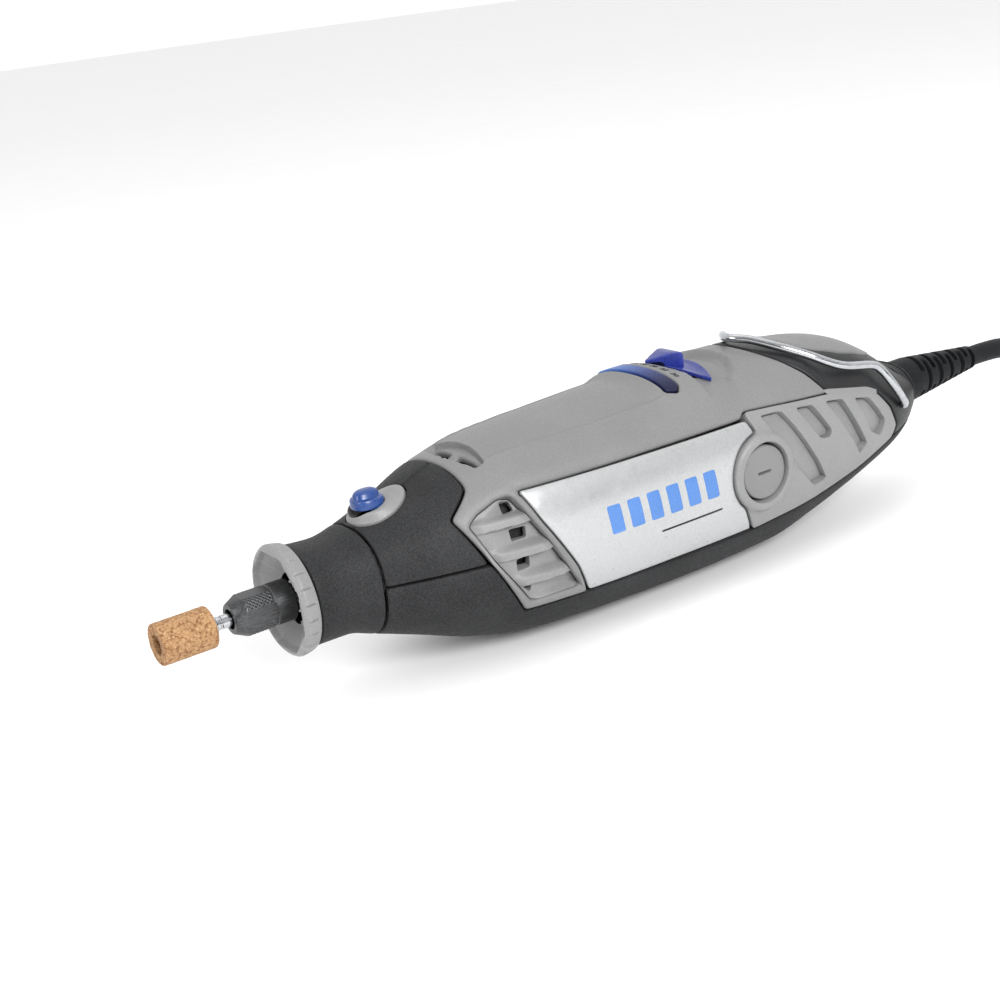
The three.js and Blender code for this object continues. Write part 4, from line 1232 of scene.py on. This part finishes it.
# ---- controls --------------------------------------------------------------------------------
def bezel():
    """The pale oval mound round the lock button."""
    outer = top_loop(ellipse(BEZEL["x"], 0, BEZEL["length"], BEZEL["width"], 96), 0.05, 0.45)
    inner = top_loop(ellipse(BUTTON_X, 0, 4.1, 3.9, 72), 0.05, 0.4)

    def relief(plane):
        px, y = plane[:, 0], plane_to_y(plane)
        out = np.hypot((px - BEZEL["x"]) / BEZEL["length"], y / BEZEL["width"])
        level = 15.4 + 0.16 * (px - BUTTON_X) - along(px, 2)
        raised = np.clip(level, 0.7, 3.0)
        return 0.4 + (raised - 0.4) * ease(0.02, 0.24, 1 - out)

    made = patch([outer, inner], relief, wall=0.9, edge=0.35, pitch=0.5)
    piece("lock_ring", made, "light_grey_plastic", ["lock_bezel"])


def stack(x, sections, power=2.3, sides=72):
    """A loft of (z, half length, half width, shift) rounded sections, upright at x."""
    turn = around(sides)
    fit = (np.abs(np.cos(turn)) ** power + np.abs(np.sin(turn)) ** power) ** (-1 / power)
    rows = []
    for z, a, b, shift in sections:
        ring = [x + shift + a * fit * np.cos(turn), b * fit * np.sin(turn), np.full(sides, z)]
        rows.append(np.stack(ring, axis=-1))
    return grid(rows)


def lock_button():
    """The blue spindle lock: an oval pad with a narrower rounded bar on top."""
    sections = [
        (14.9, 3.75, 3.6, 0), (16.5, 3.75, 3.6, 0), (16.85, 3.6, 3.4, 0), (17.0, 3.3, 2.9, 0),
        (17.05, 3.15, 2.3, -0.1), (17.2, 3.1, 2.15, -0.1), (17.9, 3.0, 2.05, -0.1),
        (18.4, 2.6, 1.75, -0.1), (18.75, 1.9, 1.2, -0.1), (18.85, 0.9, 0.5, -0.1),
        (18.86, 0.05, 0.04, -0.1),
    ]
    made = stack(BUTTON_X, sections)
    piece("lock_pad", made, "blue_plastic", ["lock_button"], "lock_button")


LENS_X = 116.6  # middle of the slider's lens


def slider():
    """The speed slider: a thin curved lens across the tool and a pointed finger wedge."""
    def lift(plane, height):
        turn = plane[:, 1] / SLIDER["radius"]
        radius = SLIDER["radius"] + np.reshape(height, -1)
        return np.stack([plane[:, 0], radius * np.sin(turn), SLIDER["z"] + radius * np.cos(turn)], axis=-1)

    def relief(plane):
        out = ((plane[:, 0] - LENS_X) / 3.2) ** 2 + (plane[:, 1] / 12.6) ** 2
        return -0.4 * (1 - ease(0.2, 0.95, out))

    t = np.linspace(-1, 1, 25)
    near = np.stack([LENS_X - 3.4 * (1 - t**2), 13 * t], axis=-1)
    far = np.stack([LENS_X + 3.4 * (1 - t[::-1] ** 2), 13 * t[::-1]], axis=-1)
    lens = patch([spaced(np.vstack([near, far[1:-1]]), 0.6)], relief, wall=0.9, edge=0.2, pitch=0.5,
                 lift=lift, shrink=0.0)
    plan = fillet([(109.6, 4.4), (116.9, -2.4), (117.4, -1.6), (117.4, 6.4), (116.6, 7.2)], 0.8, steps=5)
    plan = spaced(plan, 0.7)
    middle = plan.mean(axis=0)
    rows = []
    for level, size in ((0.0, 1.0), (0.8, 1.0), (0.9, 0.97), (0.97, 0.9), (1.0, 0.78), (1.0, 0.05)):
        ring = middle + (plan - middle) * size
        top = 26.5 + 1.4 * ease(109, 116.5, ring[:, 0])
        base = 25.95 - 1.5 * ease(112.8, 114.0, ring[:, 0])
        rows.append(np.column_stack([ring, base + (top - base) * level]))
    stem = stack(SLIDER["x"], [(19.9, 1.0, 1.7, 0), (24.3, 1.0, 1.7, 0)], 6.0)
    made = together(lens, grid(rows), stem)
    piece("slider", made, "slider_blue", ["speed_slider"], "speed_slider", slot="blue_plastic")


def numbers():
    """Small printed numbers beside the speed band."""
    points, faces, start = [], [], 0
    for i in range(6):  # 30 down to 5
        text = bpy.data.curves.new("number", "FONT")
        text.body = str(30 - 5 * i)
        text.size = 2.2
        text.align_x = "CENTER"
        text.extrude = 0.1
        holder = bpy.data.objects.new("number", text)
        scene.collection.objects.link(holder)
        flat = holder.evaluated_get(bpy.context.evaluated_depsgraph_get()).to_mesh()
        at = np.array([tuple(v.co) for v in flat.vertices])
        y = -9.0 + 3.7 * i
        plan = np.stack([107.3 + at[:, 1], y - at[:, 0]], axis=-1)
        plane = from_above(plan)
        points.append(on_skin(plane, pad_rise(plane) + at[:, 2]))
        faces += [tuple(v + start for v in face.vertices) for face in flat.polygons]
        start += len(at)
        bpy.data.objects.remove(holder)
        bpy.data.curves.remove(text)
    piece("scale_numbers", (np.vstack(points), faces), "black_plastic")


bezel()
lock_button()
slider()
numbers()


# ---- hanger and strain relief ----------------------------------------------------------------
def hanger():
    """The bent wire bail, hinged in the rear shell and lying forward over the hump."""
    near = [
        (176.5, -15.6, 1.2), (176.5, -18.2, 1.2), (176, -19.3, 2.2), (173.4, -19.9, 5.8),
        (170.4, -19.2, 10.3), (168.6, -18.3, 12.9), (165.8, -18.1, 14.6), (156.5, -18.9, 16.8),
        (151.6, -18.1, 18.7), (146.6, -15.3, 21.6), (141.7, -11.2, 24.2), (137, -5.4, 26.6),
        (134.6, -2.4, 27.2),
    ]
    far = [(x, -y, z) for x, y, z in reversed(near)]
    line = smooth_line([*near, (133.7, 0, 27.3), *far], 0.8)
    piece("bail", tube(line, WIRE_RADIUS, 20), "bright_steel", ["hanger"], "hanger")


def strain_relief():
    """The tapered bend guard: a plain collar, then five rings cut by staggered slots."""
    base, tip, start, end = RELIEF["base"], RELIEF["tip"], RELIEF["straight"], RELIEF["end"]
    pitch = (end - start) / 5
    xs = [183.6, 186.3, 186.5, 188, 189.5, 192, 195, 197.4]
    xs += [*np.arange(197.8, end - 0.3, 0.2), end - 0.15, end]

    def size(x):
        return base if x < start else base + (tip - base) * (x - start) / (end - start)

    profile = [(183.6, 0.01), *[(x, size(x) + (0.9 if x < 186.4 else 0)) for x in xs]]
    profile[-1] = (end, tip - 0.25)
    profile += [(end, 0.01)]

    def shape(x, radius, turn):
        part = ((x - start) / pitch) % 1.0
        slot = ease(0.02, 0.06, part) * (1 - ease(0.30, 0.34, part))
        later = ease(0.52, 0.56, part) * (1 - ease(0.80, 0.84, part))
        upright = ease(0.42, 0.55, np.abs(np.cos(turn)))
        sideways = ease(0.42, 0.55, np.abs(np.sin(turn)))
        cut = np.where((x > start) & (x < end - 0.6) & (radius > 1), 1.0, 0.0)
        deep = 1.15 * cut * np.clip(slot * upright + later * sideways, 0, 1)
        return x, radius - deep

    piece("bend_guard", lathe(profile, 144, shape), "cord_rubber", ["strain_relief"], sharp=35)


hanger()
strain_relief()


# ---- carried-over CAD parts ------------------------------------------------------------------
INNER_LOOKS = {
    "bright_steel": ["lock_pin", "lock_spring", "plug_pin_left", "plug_pin_right"],
    "plain_steel": [
        "lock_guide", "brush_spring_left", "brush_spring_right", "collet", "spindle",
        "spindle_bearing_inner", "spindle_bearing_outer", "motor_shaft", "motor_bearing_front",
        "motor_bearing_rear", "belly_screw_1", "belly_screw_2",
    ],
    "black_plastic": ["drive_coupling", "cooling_fan", "speed_switch", "cord_clamp"],
    "carbon": ["carbon_brush_left", "carbon_brush_right"],
    "brass": ["brush_holder_left", "brush_holder_right"],
    "copper": ["winding_front", "winding_rear", "commutator", "field_coil_top", "field_coil_bottom"],
    "lamination": ["armature_core", "field_core"],
    "board": ["control_board"],
}
for look, names in INNER_LOOKS.items():
    for name in names:
        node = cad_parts[name]
        node.data.materials.clear()
        node.data.materials.append(LOOKS[look])

exit_point = tuple(float(v) for v in lead_path[0])
